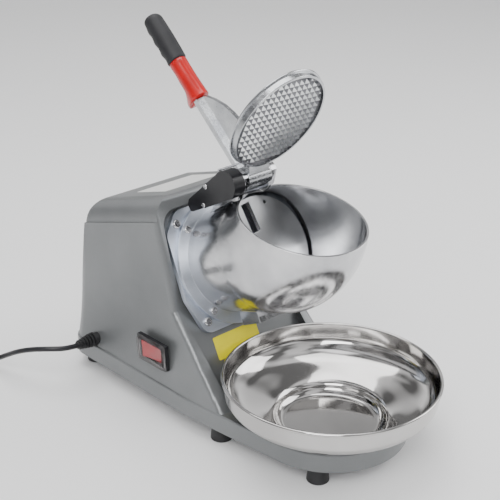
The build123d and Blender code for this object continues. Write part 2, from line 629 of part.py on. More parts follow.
def motor_bell(front):
    """Cast end bell with a bearing seat and windows."""
    if front:
        z0, z1 = MOTOR_T - BELL_L, MOTOR_T
    else:
        z0, z1 = MOTOR_T - 2 * BELL_L - STATOR_L, MOTOR_T - BELL_L - STATOR_L
    skin = 3.0
    body = rod(MOTOR_R, z0, z1, 0, -MOTOR_DROP)
    hollow = (z0 - 1, z1 - skin) if front else (z0 + skin, z1 + 1)
    body -= rod(MOTOR_R - 4, hollow[0], hollow[1], 0, -MOTOR_DROP)
    body -= rod(MOTOR_SHAFT_R + RUNNING, z0 - 1, z1 + 1, 0, -MOTOR_DROP)
    for x, y in circle_points(6, MOTOR_R * 0.62):
        body -= rod(5.5, z0 - 2, z1 + 2, x, y - MOTOR_DROP)
    return on_drum(body)


def motor_rotor():
    """Rotor core and shaft."""
    core = rod(ROTOR_R, MOTOR_T - BELL_L - STATOR_L, MOTOR_T - BELL_L, 0, -MOTOR_DROP)
    shaft = rod(MOTOR_SHAFT_R, MOTOR_T - 2 * BELL_L - STATOR_L - 16, PULLEY_T + 2, 0, -MOTOR_DROP)
    return on_drum(core + shaft)


def drive_pulley():
    """Small pulley on the motor shaft."""
    return on_drum(pulley(MOTOR_PULLEY_R, MOTOR_SHAFT_R, 0, -MOTOR_DROP))


def cooling_fan():
    """Fan behind the motor."""
    z1 = MOTOR_T - 2 * BELL_L - STATOR_L - 3
    z0 = z1 - 10
    body = tube(9, MOTOR_SHAFT_R, z0, z1)
    body += tube(MOTOR_R - 8, MOTOR_SHAFT_R, z1 - 1.5, z1)
    for i in range(8):
        body += Rot(0, 0, 45 * i) * block(8, MOTOR_R - 8.5, -0.8, 0.8, z0, z1 - 1)
    return on_drum(Pos(0, -MOTOR_DROP, 0) * body)


def motor_bracket():
    """Angle that carries the motor from the rim of the base's bay."""
    z0 = MOTOR_T
    z1 = MOTOR_T + 4
    half = MOTOR_R + 22
    plate = block(-half, half, -MOTOR_DROP - 130, -MOTOR_DROP + MOTOR_R + 4, z0, z1)
    plate -= rod(16, z0 - 1, z1 + 1, 0, -MOTOR_DROP)
    for x, y in circle_points(4, MOTOR_R - 6, pi / 4):
        plate -= rod(2.0, z0 - 1, z1 + 1, x, y - MOTOR_DROP)
    placed = on_drum(plate) - block(-200, 200, -300, 400, -200, SEAM_Z)
    placed -= on_drum(rod(PULLEY_R + 6, z0 - 1, z1 + 1))
    return placed


def motor_screws():
    """Four screws through the bracket into the front bell."""
    z1 = MOTOR_T + 4
    return [on_drum(rod(3.5, z1, z1 + 2.5, x, y - MOTOR_DROP) + rod(2.0, MOTOR_T, z1, x, y - MOTOR_DROP))
            for x, y in circle_points(4, MOTOR_R - 6, pi / 4)]


# ---------------------------------------------------------------- lever
def arm_point(along, across):
    """Point of the lever's side view, from its place along and across the handle."""
    y = PIVOT_Y + ARM_DIR[0] * along + ARM_NORMAL[0] * (ARM_OFFSET + across)
    z = PIVOT_Z + ARM_DIR[1] * along + ARM_NORMAL[1] * (ARM_OFFSET + across)
    return (y, z)


def press_plane():
    """Toothed face of the press plate in the open pose; its Z points away from the lever."""
    shut = radians(DRUM_TILT)
    centre_shut = Vector(0, DISC_Y - PRESS_GAP * cos(shut), DISC_Z + PRESS_GAP * sin(shut))
    swing = Location((0, PIVOT_Y, PIVOT_Z)) * Rot(-LEVER_SWING, 0, 0) * Location((0, -PIVOT_Y, -PIVOT_Z))
    shut_plane = Plane(origin=centre_shut, x_dir=(1, 0, 0), z_dir=(0, cos(shut), -sin(shut)))
    return swing * shut_plane.location


def press_plate():
    """Round plate that pushes the ice against the disc; its teeth fill the recessed face."""
    body = rod(PRESS_R, -PRESS_T, -1.0) + rod(PRESS_R + PRESS_LIP, -PRESS_T, -PRESS_T + 3.0)
    body = fillet(body.edges().group_by(Axis.Z)[0], 1.2)
    body += rod(PRESS_R - 3.5, -1.5, 0)
    return press_plane() * body


def press_arm():
    """Cast lever: hub, bar, web and the pad behind the press plate."""
    half_t = ARM_T / 2
    bar = side_prism([arm_point(0, -half_t), arm_point(RED_START + 20, -half_t),
                      arm_point(RED_START + 20, half_t), arm_point(0, half_t)], -ARM_WIDTH / 2, ARM_WIDTH / 2)
    tang = side_prism([arm_point(RED_START + 10, -half_t), arm_point(HANDLE_END - 14, -half_t),
                       arm_point(HANDLE_END - 14, half_t), arm_point(RED_START + 10, half_t)], -5, 5)
    hub = Pos(0, PIVOT_Y, PIVOT_Z) * Rot(0, 90, 0) * rod(HUB_R, -HUB_HALF, HUB_HALF)
    sleeve = Pos(0, PIVOT_Y, PIVOT_Z) * Rot(0, 90, 0) * rod(SLEEVE_R, COVER_INNER_X - 8, -HUB_HALF)
    plate_at = press_plane()

    def behind(v, t):
        point = (plate_at * Location((0, v, t))).position
        return (point.Y, point.Z)

    # the plate's own Y points away from the hinge
    edge = [(PIVOT_Y + y, PIVOT_Z + z) for y, z in WEB_EDGE]
    web = side_prism([arm_point(0, 0), arm_point(RED_START - 2, 0), *edge,
                      behind(-24, -PRESS_T), behind(-PRESS_R + 4, -PRESS_T), (PIVOT_Y - 6, PIVOT_Z)], -3.0, 3.0)
    neck = side_prism([behind(-PRESS_R + 20, -PRESS_T), behind(-PRESS_R + 1, -PRESS_T),
                       (PIVOT_Y - 12, PIVOT_Z + 4), (PIVOT_Y + 4, PIVOT_Z + 12)], -HUB_HALF + 3, HUB_HALF - 3)
    pad = plate_at * rod(20, -PRESS_T - 3.5, -PRESS_T, 0, PAD_V)
    arm = hub + sleeve + bar + tang + web + neck + pad - press_plate()
    arm -= Pos(0, PIVOT_Y, PIVOT_Z) * Rot(0, 90, 0) * rod(PIN_R + RUNNING, -80, 80)
    return arm - cross_pin()


def cross_pin():
    """Thin pin through the lever's bar, standing out on the left."""
    y, z = PIVOT_Y + CROSS_PIN[0], PIVOT_Z + CROSS_PIN[1]
    return Pos(0, y, z) * Rot(0, 90, 0) * rod(CROSS_PIN_R, -CROSS_PIN_REACH, ARM_WIDTH / 2 + 1)


def press_plate_screws():
    """Two countersunk screws from the pad into the press plate, seen from behind."""
    at = press_plane()
    return [at * rod(3.0, -PRESS_T - 5.5, -PRESS_T - 3.5, x, PAD_V) for x in (-13, 13)]


def handle_place(along):
    """Local axes on the handle's centre line, with Z along it."""
    return Plane(origin=(0, *arm_point(along, 0)), x_dir=(1, 0, 0), z_dir=(0, *ARM_DIR)).location


def grip_red():
    """Red collar between the bar and the black grip, wider at its foot."""
    length = RED_END - RED_START
    body = Pos(0, 0, length / 2) * Cone(RED_FOOT_R, RED_R, length)
    return handle_place(RED_START) * body - press_arm()


def grip_black():
    """Black hand grip."""
    body = rod(GRIP_R, 0, HANDLE_END - RED_END)
    body = fillet(body.edges().group_by(Axis.Z)[-1], GRIP_R * 0.6)
    return handle_place(RED_END) * body - press_arm()


def cam_radius(angle):
    """Cam radius at an angle of the side view, rising evenly over the lever's swing."""
    behind_contact = COVER_ANGLE - angle
    share = min(max(behind_contact / LEVER_SWING, 0.0), 1.0)
    return CAM_BASE_R + CAM_RISE * share


def lever_cam():
    """Cam on the hub's sleeve that works the safety switch."""
    first = COVER_ANGLE + 8
    last = COVER_ANGLE - LEVER_SWING - 8
    count = 18
    rise = [first + (last - first) * i / count for i in range(count + 1)]
    points = [(cam_radius(a) * cos(radians(a)), cam_radius(a) * sin(radians(a))) for a in rise]
    edges = Polyline(*points)
    back = (last - 360 + first) / 2 + 180
    back_r = CAM_BASE_R - 1.0
    edges += ThreePointArc(points[-1], (back_r * cos(radians(back + 180)), back_r * sin(radians(back + 180))),
                           points[0])
    face = make_face(edges)
    body = extrude(face, 6.0) - rod(SLEEVE_R, -1, 7)
    return Pos(COVER_INNER_X - 7.5, 0, 0) * PIN_AXIS.location * body


def hinge_pin():
    """Hinge pin with a head at one end and a groove clip at the other."""
    axis = Pos(0, PIVOT_Y, PIVOT_Z) * Rot(0, 90, 0)
    right = HUB_HALF + GAP + EAR_T
    return axis * (rod(PIN_R, COVER_INNER_X - 11, right + 4) + rod(PIN_R + 3, right, right + 3))


# ---------------------------------------------------------------- safety switch
def cover_outline(inset):
    """Side view of the cover: a round nose on the hinge axis, tapering to the rear."""
    nose = COVER_NOSE_R - inset
    tail_far = COVER_LENGTH - inset
    tail_half = 8.0 - inset
    lean = radians(COVER_ANGLE)
    local = [(0, nose), (tail_far - 6, tail_half), (tail_far, tail_half - 5), (tail_far, -tail_half + 2),
             (tail_far - 4, -tail_half), (0, -nose)]
    turned = [(x * cos(lean) - y * sin(lean), x * sin(lean) + y * cos(lean)) for x, y in local]
    tip = (-nose * cos(lean), -nose * sin(lean))
    edges = Polyline(*turned) + ThreePointArc(turned[-1], tip, turned[0])
    return make_face(edges)


def switch_cover():
    """Black moulded cover over the safety switch, open towards the machine."""
    outer = extrude(cover_outline(0), COVER_T)
    inner = Pos(0, 0, 2.2) * extrude(cover_outline(2.2), COVER_T)
    body = outer - inner
    for along, across in COVER_SCREWS:
        x, y = cover_point(along, across)
        body += rod(4, 1, COVER_T, x, y)
        body -= rod(1.6, -1, COVER_T + 1, x, y)
    return Pos(COVER_OUTER_X, 0, 0) * PIN_AXIS.location * body - hopper_envelope(GAP)


def cover_point(along, across):
    """A place on the cover, from its distance along and across the centre line."""
    lean = radians(COVER_ANGLE)
    return (along * cos(lean) - across * sin(lean), along * sin(lean) + across * cos(lean))


def switch_bracket():
    """Steel plate beside the left lug that the switch and its cover are screwed to."""
    body = extrude(cover_outline(0.4), 1.0)
    body -= rod(SLEEVE_R + 2, -1, 3)
    for along, across in COVER_SCREWS:
        x, y = cover_point(along, across)
        body -= rod(1.6, -1, 3, x, y)
    return Pos(COVER_INNER_X, 0, 0) * PIN_AXIS.location * body - hopper_envelope(GAP)


def cover_screws():
    """Two bright screws in the cover's face."""
    result = []
    for along, across in COVER_SCREWS:
        x, y = cover_point(along, across)
        screw = Rot(180, 0, 0) * pan_screw(3.2, 1.8, COVER_T - 2, COVER_SCREW_SHANK_R)
        result.append(Pos(COVER_OUTER_X, 0, 0) * PIN_AXIS.location * Pos(x, y, 0) * screw)
    return result


def safety_switch():
    """Snap-action switch body behind the cam."""
    body = block(SAFETY_NEAR, SAFETY_NEAR + 20, -5, 3.5, -5, 5)
    body -= Rot(0, 90, 0) * rod(2 + RUNNING, 20, SAFETY_NEAR + 8)
    return safety_frame() * body


def safety_frame():
    """Local axes of the safety switch: X along the cover's centre line, from the hinge."""
    return Location((COVER_INNER_X - 7.0, PIVOT_Y, PIVOT_Z)) * Rot(COVER_ANGLE, 0, 0) * Rot(0, 0, 90)


def switch_plunger():
    """Plunger of the safety switch, resting just off the cam."""
    return safety_frame() * Rot(0, 90, 0) * rod(2, CAM_BASE_R + 0.15, SAFETY_NEAR + 4)


# ---------------------------------------------------------------- mains switch
def switch_frame():
    """Local axes of the mains switch: Z outwards from the casing's left side."""
    return Location((-106.0, SWITCH_Y, SWITCH_Z)) * Rot(0, -90, 0) * Rot(0, 0, -90) * Rot(SWITCH_PITCH, 0, 0)


def switch_body():
    """Bezel and body of the mains switch."""
    bezel = block(-SWITCH_LENGTH / 2, SWITCH_LENGTH / 2, -SWITCH_HEIGHT / 2, SWITCH_HEIGHT / 2, 0, 5)
    bezel = fillet(bezel.edges().filter_by(Axis.Z), 3)
    body = block(-21.5, 21.5, -12.5, 12.5, -26, 0)
    pocket = block(-17, 17, -11, 11, -9, 6)
    pivot = Pos(0, 0, -3) * Rot(90, 0, 0) * rod(1.5 - RUNNING, -11.5, 11.5)
    return switch_frame() * (bezel + body - pocket + pivot)


def switch_boot():
    """Clear splash cover that clips over the bezel."""
    half_l = SWITCH_LENGTH / 2 - 3
    half_h = SWITCH_HEIGHT / 2 - 3
    outer = block(-half_l, half_l, -half_h, half_h, 5, 12)
    outer = fillet(outer.edges().filter_by(Axis.Z), 3)
    outer = fillet(outer.edges().group_by(Axis.Z)[-1], 1.5)
    return switch_frame() * (outer - block(-half_l + 1, half_l - 1, -half_h + 1, half_h - 1, 4, 11))


def power_rocker():
    """Rocker, shown in its off position."""
    body = side_rocker()
    return switch_frame() * Pos(0, 0, -3) * Rot(0, ROCKER_TILT, 0) * body


def side_rocker():
    """Rocker with a hollowed face, drawn level."""
    body = block(-15.5, 15.5, -10.5, 10.5, -3.5, 7.5)
    dish = Pos(0, 0, 7.5 + 58) * Rot(90, 0, 0) * Cylinder(60, 40)
    return body - dish - Rot(90, 0, 0) * rod(1.5, -20, 20)


# ---------------------------------------------------------------- bowl
def bowl_side(inset):
    """Bowl's section from its foot's edge up to below the rim, as edges in the XZ plane."""
    z = BOWL_FOOT_Z + inset
    slant = inset * 0.55
    knee = (BOWL_FOOT_R + 7.0 - slant, z + 12.5)
    belly = (107.0 - inset * 0.7, z + 24.5)
    shoulder = (127.0 - inset, z + 38.0)
    turn = (130.4 - inset, z + 43.5)
    wall = (BOWL_RIM_R - 3.6 - inset, z + 49.0)
    top = (BOWL_RIM_R - 1.6 - inset, BOWL_RIM_Z - 2.0)
    foot = (BOWL_FOOT_R - slant, z)
    return foot, knee, belly, shoulder, turn, wall, top


def bowl_edges(inset):
    """The same section as joined lines and arcs."""
    foot, knee, belly, shoulder, turn, wall, top = bowl_side(inset)
    return [Line(foot, knee), ThreePointArc(knee, belly, shoulder), ThreePointArc(shoulder, turn, wall),
            Line(wall, top)]


def ice_bowl():
    """Pressed steel bowl with a rolled rim and a recessed foot."""
    t = BOWL_WALL
    outer, inner = bowl_side(0), bowl_side(t)
    edges = bowl_edges(0) + bowl_edges(t)
    edges += [Line(outer[-1], inner[-1]), Line((0, BOWL_FOOT_Z), outer[0]), Line((0, BOWL_FOOT_Z + t), inner[0]),
              Line((0, BOWL_FOOT_Z), (0, BOWL_FOOT_Z + t))]
    shell = revolve(Plane.XZ * make_face(edges), Axis.Z)
    rim = revolve(Plane.XZ * (Pos(BOWL_RIM_R - 2.2, BOWL_RIM_Z - 2.2) * Circle(2.2)), Axis.Z)
    return Pos(0, BOWL_Y, 0) * (shell + rim)


# ---------------------------------------------------------------- mains lead
def strain_relief():
    """Ribbed rubber sleeve where the lead leaves the casing."""
    body = rod(9.8, 0, 3)
    body += Pos(0, 0, 3 + (RELIEF_LENGTH - 3) / 2) * Cone(6.6, 4.8, RELIEF_LENGTH - 3)
    for i in range(5):
        z = 5.4 + 4.4 * i
        body += rod(9.6 - 0.75 * i, z, z + 2.4)
    body += rod(RELIEF_NECK_R, -13.5, 0)
    body += rod(9.6, -13.5, -11.5)
    return Location((RELIEF_X, CORD_Y, CORD_Z)) * Rot(0, -90, 0) * body


def corner_radii(points):
    """Arc radius for each corner of a cord: 0.45 of its shorter run over the half turn's tangent."""
    radii = []
    for before, here, after in zip(points, points[1:], points[2:]):
        first = Vector(*here) - Vector(*before)
        second = Vector(*after) - Vector(*here)
        turn = radians(first.get_angle(second))
        radii.append(0.45 * min(first.length, second.length) / tan(turn / 2))
    return radii


def cord_tube(points, name):
    """Round lead along straight runs joined by arcs."""
    radii = corner_radii(points)
    print(name, "corner radii", [round(r, 1) for r in radii])
    path = FilletPolyline(*points, radius=radii) if radii else Line(*points)
    start = Vector(*points[1]) - Vector(*points[0])
    section = Plane(origin=points[0], z_dir=start) * Circle(CORD_D / 2)
    solid = sweep(section, path=path)
    print(name, "length", round(path.length, 1), "volume ratio",
          round(solid.volume / (pi * (CORD_D / 2) ** 2 * path.length), 4))
    return solid


def cord_coil():
    """Outer shape of the put-away turns, lying on the table."""
    half = COIL_COLUMNS * CORD_D / 2
    body = tube(COIL_MEAN_D / 2 + half, COIL_MEAN_D / 2 - half, 0, COIL_LAYERS * CORD_D)
    body = fillet(body.edges(), CORD_D * 0.45)
    return Pos(COIL_X, COIL_Y, 0) * body


def plug_frame():
    """Plug's local axes: Z from the lead towards the pins."""
    return Location((COIL_X - TAIL_LENGTH, COIL_Y + OUTER_TURN, PLUG_R)) * Rot(0, -90, 0)


def plug_body():
    """Moulded mains plug."""
    body = rod(PLUG_R, 12, PLUG_LENGTH)
    body = fillet(body.edges().group_by(Axis.Z)[-1], 2)
    body += Pos(0, 0, 6) * Cone(CORD_D / 2 + 0.8, PLUG_R - 2.5, 12)
    return plug_frame() * body


def plug_pins():
    """Two flat pins."""
    return [plug_frame() * block(-3.2, 3.2, s * 6.3 - 0.75, s * 6.3 + 0.75, PLUG_LENGTH, PLUG_LENGTH + 17)
            for s in (-1, 1)]


def cord_tail():
    """Short straight end of the lead between the coil and the plug."""
    z = PLUG_R
    y = COIL_Y + OUTER_TURN
    return cord_tube([(COIL_X - 12, y, z), (COIL_X - TAIL_LENGTH, y, z)], "tail")


# ---------------------------------------------------------------- electrics and blank labels
def capacitor():
    """Motor capacitor on the base beside the motor."""
    body = rod(16, SEAM_Z, SEAM_Z + 60, 62, 215)
    return fillet(body.edges().group_by(Axis.Z)[-1], 3)


def capacitor_clip():
    """Sheet clip round the capacitor."""
    ring = tube(17.2, 16, SEAM_Z + 18, SEAM_Z + 30, 62, 215)
    leg = block(78.2, 79.4, 209, 221, SEAM_Z, SEAM_Z + 30)
    return ring + leg


def terminal_block():
    """Screw terminal block inside the casing near the lead's entry."""
    body = block(-84, -70, 178, 222, SEAM_Z, SEAM_Z + 16)
    for i in range(4):
        body -= rod(2.2, SEAM_Z + 6, SEAM_Z + 17, -77, 184 + 10.5 * i)
    return body


def top_plane():
    """Sloping top face of the casing."""
    slope = (REAR_TOP_Z - FRONT_TOP_Z) / (REAR_TOP_Y - FRONT_TOP_Y)
    middle_y = (FRONT_TOP_Y + REAR_TOP_Y) / 2
    middle_z = (FRONT_TOP_Z + REAR_TOP_Z) / 2
    return Plane(origin=(0, middle_y, middle_z), x_dir=(1, 0, 0), z_dir=Vector(0, -slope, 1))


def top_label():
    """Blank white label on the casing's top."""
    label = extrude(RectangleRounded(TOP_LABEL[0], TOP_LABEL[1], 3), 0.4)
    return top_plane().location * Pos(0, -8, 0) * label


def front_label():
    """Blank yellow label on the front panel below the drum."""
    label = extrude(RectangleRounded(FRONT_LABEL[0], FRONT_LABEL[1], 2), 0.4)
    return on_drum(Pos(FRONT_LABEL_X, FRONT_LABEL_V, PANEL_T) * label)


def save(name, shape):
    """Write one node."""
    if isinstance(shape, (list, tuple)):
        shape = Compound(children=[s if isinstance(s, (Solid, Compound)) else s.solid() for s in shape])
    export_step(shape, os.path.join("parts", name + ".step"))


def main():
    """Build every node."""
    os.makedirs("parts", exist_ok=True)
    save("housing_shell", housing_shell())
    save("base_pan", base_pan())
    save("bottom_plate", bottom_plate())
    for name, (x, y) in zip(FOOT_NAMES, FOOT_PLACES):
        save(name, foot(x, y))
    save("foot_screws", [foot_screw(x, y) for x, y in FOOT_PLACES])
    save("drum_flange", drum_flange())
    save("hopper", hopper())
    save("hopper_screws", hopper_screws())
    save("flange_screws", flange_screws())
    save("ice_bowl", ice_bowl())
    save("cutter_disc", cutter_disc())
    save("blades", blades())
    save("blade_screws", blade_screws())
    save("spindle_shaft", spindle_shaft())
    save("driven_pulley", driven_pulley())
    save("spindle_nut", spindle_nut())
    save("bearing_front", bearing(-DRUM_LENGTH + 34 - BEARING_W, -DRUM_LENGTH + 34))
    save("bearing_rear", bearing(PANEL_T - 18, PANEL_T - 18 + BEARING_W))
    save("drive_belt", drive_belt())
    save("motor_can", motor_can())
    save("motor_bell_front", motor_bell(True))
    save("motor_bell_rear", motor_bell(False))
    save("motor_rotor", motor_rotor())
    save("drive_pulley", drive_pulley())
    save("cooling_fan", cooling_fan())
    save("motor_bracket", motor_bracket())
    save("motor_screws", motor_screws())
    save("press_plate", press_plate())
    save("press_arm", press_arm())
    save("press_plate_screws", press_plate_screws())
    save("cross_pin", cross_pin())
    save("grip_red", grip_red())
    save("grip_black", grip_black())
    save("lever_cam", lever_cam())
    save("hinge_pin", hinge_pin())
    save("switch_cover", switch_cover())
    save("switch_bracket", switch_bracket())
    save("cover_screws", cover_screws())
    save("safety_switch", safety_switch())
    save("switch_plunger", switch_plunger())
    save("switch_body", switch_body())
    save("switch_boot", switch_boot())
    save("power_rocker", power_rocker())
    save("strain_relief", strain_relief())
    save("power_cord", cord_tube(CORD_ROUTE, "lead"))
    save("cord_coil", cord_coil())
    save("cord_tail", cord_tail())
    save("plug_body", plug_body())
    save("plug_pins", plug_pins())
    save("capacitor", capacitor())
    save("capacitor_clip", capacitor_clip())
    save("terminal_block", terminal_block())
    save("top_label", top_label())
    save("front_label", front_label())


main()
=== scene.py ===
"""Studio model of a countertop ice shaver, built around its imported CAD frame."""

import logging
import math
from dataclasses import dataclass, field
from enum import Enum
from typing import Callable, Iterable

import bmesh
import bpy
from mathutils import Matrix, Vector


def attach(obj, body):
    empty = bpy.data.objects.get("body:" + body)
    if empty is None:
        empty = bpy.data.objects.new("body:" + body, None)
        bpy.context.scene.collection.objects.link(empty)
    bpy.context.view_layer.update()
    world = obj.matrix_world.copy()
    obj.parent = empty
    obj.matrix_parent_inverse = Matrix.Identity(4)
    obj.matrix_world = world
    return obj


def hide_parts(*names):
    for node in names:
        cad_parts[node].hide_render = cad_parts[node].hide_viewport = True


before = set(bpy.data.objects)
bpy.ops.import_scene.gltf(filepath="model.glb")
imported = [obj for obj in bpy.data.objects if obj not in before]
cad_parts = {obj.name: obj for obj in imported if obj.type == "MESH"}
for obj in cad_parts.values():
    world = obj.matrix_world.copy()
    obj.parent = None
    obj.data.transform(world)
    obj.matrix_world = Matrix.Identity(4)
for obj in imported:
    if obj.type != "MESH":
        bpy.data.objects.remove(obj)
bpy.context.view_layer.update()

LOG = logging.getLogger("ice_shaver")

# Sizes in metres that the looks share with the CAD model.
BOWL_Y = -0.128
DISC_CENTRE = Vector((0.0, -0.0126, 0.2249))
DRUM_TILT = math.radians(26.7)
PIVOT = Vector((0.0, 0.012, 0.3155))
LEVER_SWING = math.radians(127.8)
HANDLE_LEAN = math.radians(42.8)
HANDLE_OFFSET = 0.0085
CORD_DIAMETER = 0.007
COIL_CENTRE = Vector((-0.280, 0.335, 0.0))
COIL_MEAN_RADIUS = 0.0385
OUTER_TURN = 0.052
TAIL_LENGTH = 0.035
SMOOTH_ANGLE = math.radians(32)


class Sheen(Enum):
    """How a finish answers light."""

    METAL = 1.0
    FLAKE = 0.45
    DIELECTRIC = 0.0


class Pattern(Enum):
    """Which way the fine marks of a finish run."""

    GRAIN = "grain"
    TURNED = "turned"


def spindle_frame() -> Matrix:
    """Axes of the tilted drum: Z runs forwards along the spindle from the disc's face.

    Returns:
        The drum's axes.
    """
    c, s = math.cos(DRUM_TILT), math.sin(DRUM_TILT)
    turn = Matrix(((1, 0, 0), (0, s, -c), (0, c, s))).to_4x4()
    return Matrix.Translation(DISC_CENTRE) @ turn


def press_frame() -> Matrix:
    """Axes of the open press plate: Z leaves its toothed face, Y leaves the hinge.

    Returns:
        The open plate's axes.
    """
    c, s = math.cos(DRUM_TILT), math.sin(DRUM_TILT)
    gap = 0.010
    shut = Matrix.Translation(DISC_CENTRE + gap * Vector((0, -c, s)))
    shut = shut @ Matrix(((1, 0, 0), (0, -s, c), (0, -c, -s))).to_4x4()
    swing = Matrix.Translation(PIVOT) @ Matrix.Rotation(-LEVER_SWING, 4, "X") @ Matrix.Translation(-PIVOT)
    return swing @ shut


def handle_frame() -> Matrix:
    """Axes of the handle: Z runs along it, from the foot of the perpendicular on the hinge.

    Returns:
        The handle's axes.
    """
    c, s = math.cos(HANDLE_LEAN), math.sin(HANDLE_LEAN)
    foot = PIVOT + HANDLE_OFFSET * Vector((0, s, -c))
    return Matrix.Translation(foot) @ Matrix(((1, 0, 0), (0, s, c), (0, -c, s))).to_4x4()


# ---------------------------------------------------------------- finishes
@dataclass(frozen=True)
class Finish:
    """A surface finish, worked out from object coordinates."""

    name: str
    base: tuple[float, float, float]
    tone: tuple[float, float, float]
    rough: tuple[float, float]
    sheen: Sheen = Sheen.DIELECTRIC
    pattern: Pattern = Pattern.GRAIN
    mottle: float = 18.0
    grain: float = 900.0
    stretch: tuple[float, float, float] = (1.0, 1.0, 1.0)
    bump: float = 0.12
    depth: float = 0.0002
    coat: float = 0.0
    coat_rough: float = 0.1
    clear: float = 0.0
    speckle: float = 0.0
    ior: float = 1.5

    def make(self) -> bpy.types.Material:
        """Builds the material.

        Returns:
            The new material.
        """
        material = bpy.data.materials.new(self.name)
        material.use_nodes = True
        nodes, links = material.node_tree.nodes, material.node_tree.links
        shader = nodes["Principled BSDF"]
        shader.inputs["Metallic"].default_value = self.sheen.value
        shader.inputs["Coat Weight"].default_value = self.coat
        shader.inputs["Coat Roughness"].default_value = self.coat_rough
        shader.inputs["Transmission Weight"].default_value = self.clear
        shader.inputs["IOR"].default_value = self.ior
        place = nodes.new("ShaderNodeTexCoord")
        mapping = nodes.new("ShaderNodeMapping")
        mapping.inputs["Scale"].default_value = self.stretch
        links.new(place.outputs["Object"], mapping.inputs["Vector"])
        slow = self._noise(nodes, links, place.outputs["Object"], self.mottle, 3.0)
        fine = self._fine(nodes, links, place, mapping)
        colour = nodes.new("ShaderNodeMix")
        colour.data_type = "RGBA"
        colour.inputs["A"].default_value = (*self.base, 1)
        colour.inputs["B"].default_value = (*self.tone, 1)
        share = nodes.new("ShaderNodeMapRange")
        share.inputs["From Min"].default_value = 0.35
        share.inputs["From Max"].default_value = 0.68
        links.new(slow, share.inputs["Value"])
        links.new(share.outputs["Result"], colour.inputs["Factor"])
        out = colour.outputs["Result"]
        if self.speckle:
            out = self._flakes(nodes, links, place, out)
        links.new(out, shader.inputs["Base Color"])
        rough = nodes.new("ShaderNodeMapRange")
        rough.inputs["From Min"].default_value = 0.3
        rough.inputs["From Max"].default_value = 0.7
        rough.inputs["To Min"].default_value = self.rough[0]
        rough.inputs["To Max"].default_value = self.rough[1]
        links.new(fine, rough.inputs["Value"])
        links.new(rough.outputs["Result"], shader.inputs["Roughness"])
        bump = nodes.new("ShaderNodeBump")
        bump.inputs["Strength"].default_value = self.bump
        bump.inputs["Distance"].default_value = self.depth
        links.new(fine, bump.inputs["Height"])
        links.new(bump.outputs["Normal"], shader.inputs["Normal"])
        return material

    def _noise(self, nodes: bpy.types.Nodes, links: bpy.types.NodeLinks, vector: bpy.types.NodeSocket,
               scale: float, detail: float) -> bpy.types.NodeSocket:
        """Adds one noise texture.

        Args:
            nodes: The tree's nodes.
            links: The tree's links.
            vector: Coordinates to read.
            scale: Spots per metre.
            detail: Octaves.

        Returns:
            The value socket.
        """
        noise = nodes.new("ShaderNodeTexNoise")
        noise.inputs["Scale"].default_value = scale
        noise.inputs["Detail"].default_value = detail
        links.new(vector, noise.inputs["Vector"])
        return noise.outputs["Fac"]

    def _fine(self, nodes: bpy.types.Nodes, links: bpy.types.NodeLinks, place: bpy.types.Node,
              mapping: bpy.types.Node) -> bpy.types.NodeSocket:
        """Makes the fine marks: stretched grain, or rings round the spindle.

        Args:
            nodes: The tree's nodes.
            links: The tree's links.
            place: Texture coordinates.
            mapping: Stretched coordinates.

        Returns:
            The value socket.
        """
        if self.pattern is Pattern.GRAIN:
            return self._noise(nodes, links, mapping.outputs["Vector"], self.grain, 4.0)
        local = spindle_frame().inverted()
        centring = nodes.new("ShaderNodeMapping")
        centring.inputs["Location"].default_value = local.to_translation()
        centring.inputs["Rotation"].default_value = local.to_euler("XYZ")
        links.new(place.outputs["Object"], centring.inputs["Vector"])
        rings = nodes.new("ShaderNodeTexWave")
        rings.wave_type = "RINGS"
        rings.rings_direction = "Z"
        rings.inputs["Scale"].default_value = self.grain
        rings.inputs["Distortion"].default_value = 2.5
        rings.inputs["Detail"].default_value = 3.0
        rings.inputs["Detail Scale"].default_value = 2.0
        links.new(centring.outputs["Vector"], rings.inputs["Vector"])
        return rings.outputs["Fac"]

    def _flakes(self, nodes: bpy.types.Nodes, links: bpy.types.NodeLinks, place: bpy.types.Node,
                colour: bpy.types.NodeSocket) -> bpy.types.NodeSocket:
        """Adds metallic flakes to a paint.

        Args:
            nodes: The tree's nodes.
            links: The tree's links.
            place: Texture coordinates.
            colour: Colour to work on.

        Returns:
            The colour socket.
        """
        flakes = self._noise(nodes, links, place.outputs["Object"], 2600.0, 1.0)
        light = nodes.new("ShaderNodeMapRange")
        light.inputs["From Min"].default_value = 0.3
        light.inputs["From Max"].default_value = 0.75
        light.inputs["To Min"].default_value = 1.0 - self.speckle
        light.inputs["To Max"].default_value = 1.0 + self.speckle
        links.new(flakes, light.inputs["Value"])
        scaled = nodes.new("ShaderNodeVectorMath")
        scaled.operation = "SCALE"
        links.new(colour, scaled.inputs[0])
        links.new(light.outputs["Result"], scaled.inputs["Scale"])
        return scaled.outputs["Vector"]


GREY_PAINT = Finish("grey_paint", (0.185, 0.193, 0.197), (0.205, 0.213, 0.217), (0.30, 0.42), Sheen.FLAKE,
                    bump=0.06, depth=0.0001, coat=0.25, coat_rough=0.28, speckle=0.10)
CAST_ALUMINIUM = Finish("cast_aluminium", (0.64, 0.68, 0.75), (0.55, 0.59, 0.66), (0.38, 0.50), Sheen.METAL,
                        mottle=35.0, grain=700.0, bump=0.08)
POLISHED_ALUMINIUM = Finish("polished_aluminium", (0.66, 0.66, 0.67), (0.50, 0.505, 0.52), (0.12, 0.24), Sheen.METAL,
                            mottle=24.0, grain=260.0, stretch=(1.0, 0.25, 0.6), bump=0.03)
LEVER_ALUMINIUM = Finish("lever_aluminium", (0.58, 0.59, 0.60), (0.44, 0.45, 0.47), (0.16, 0.30), Sheen.METAL,
                         mottle=40.0, grain=420.0, stretch=(1.0, 0.4, 1.0), bump=0.04)
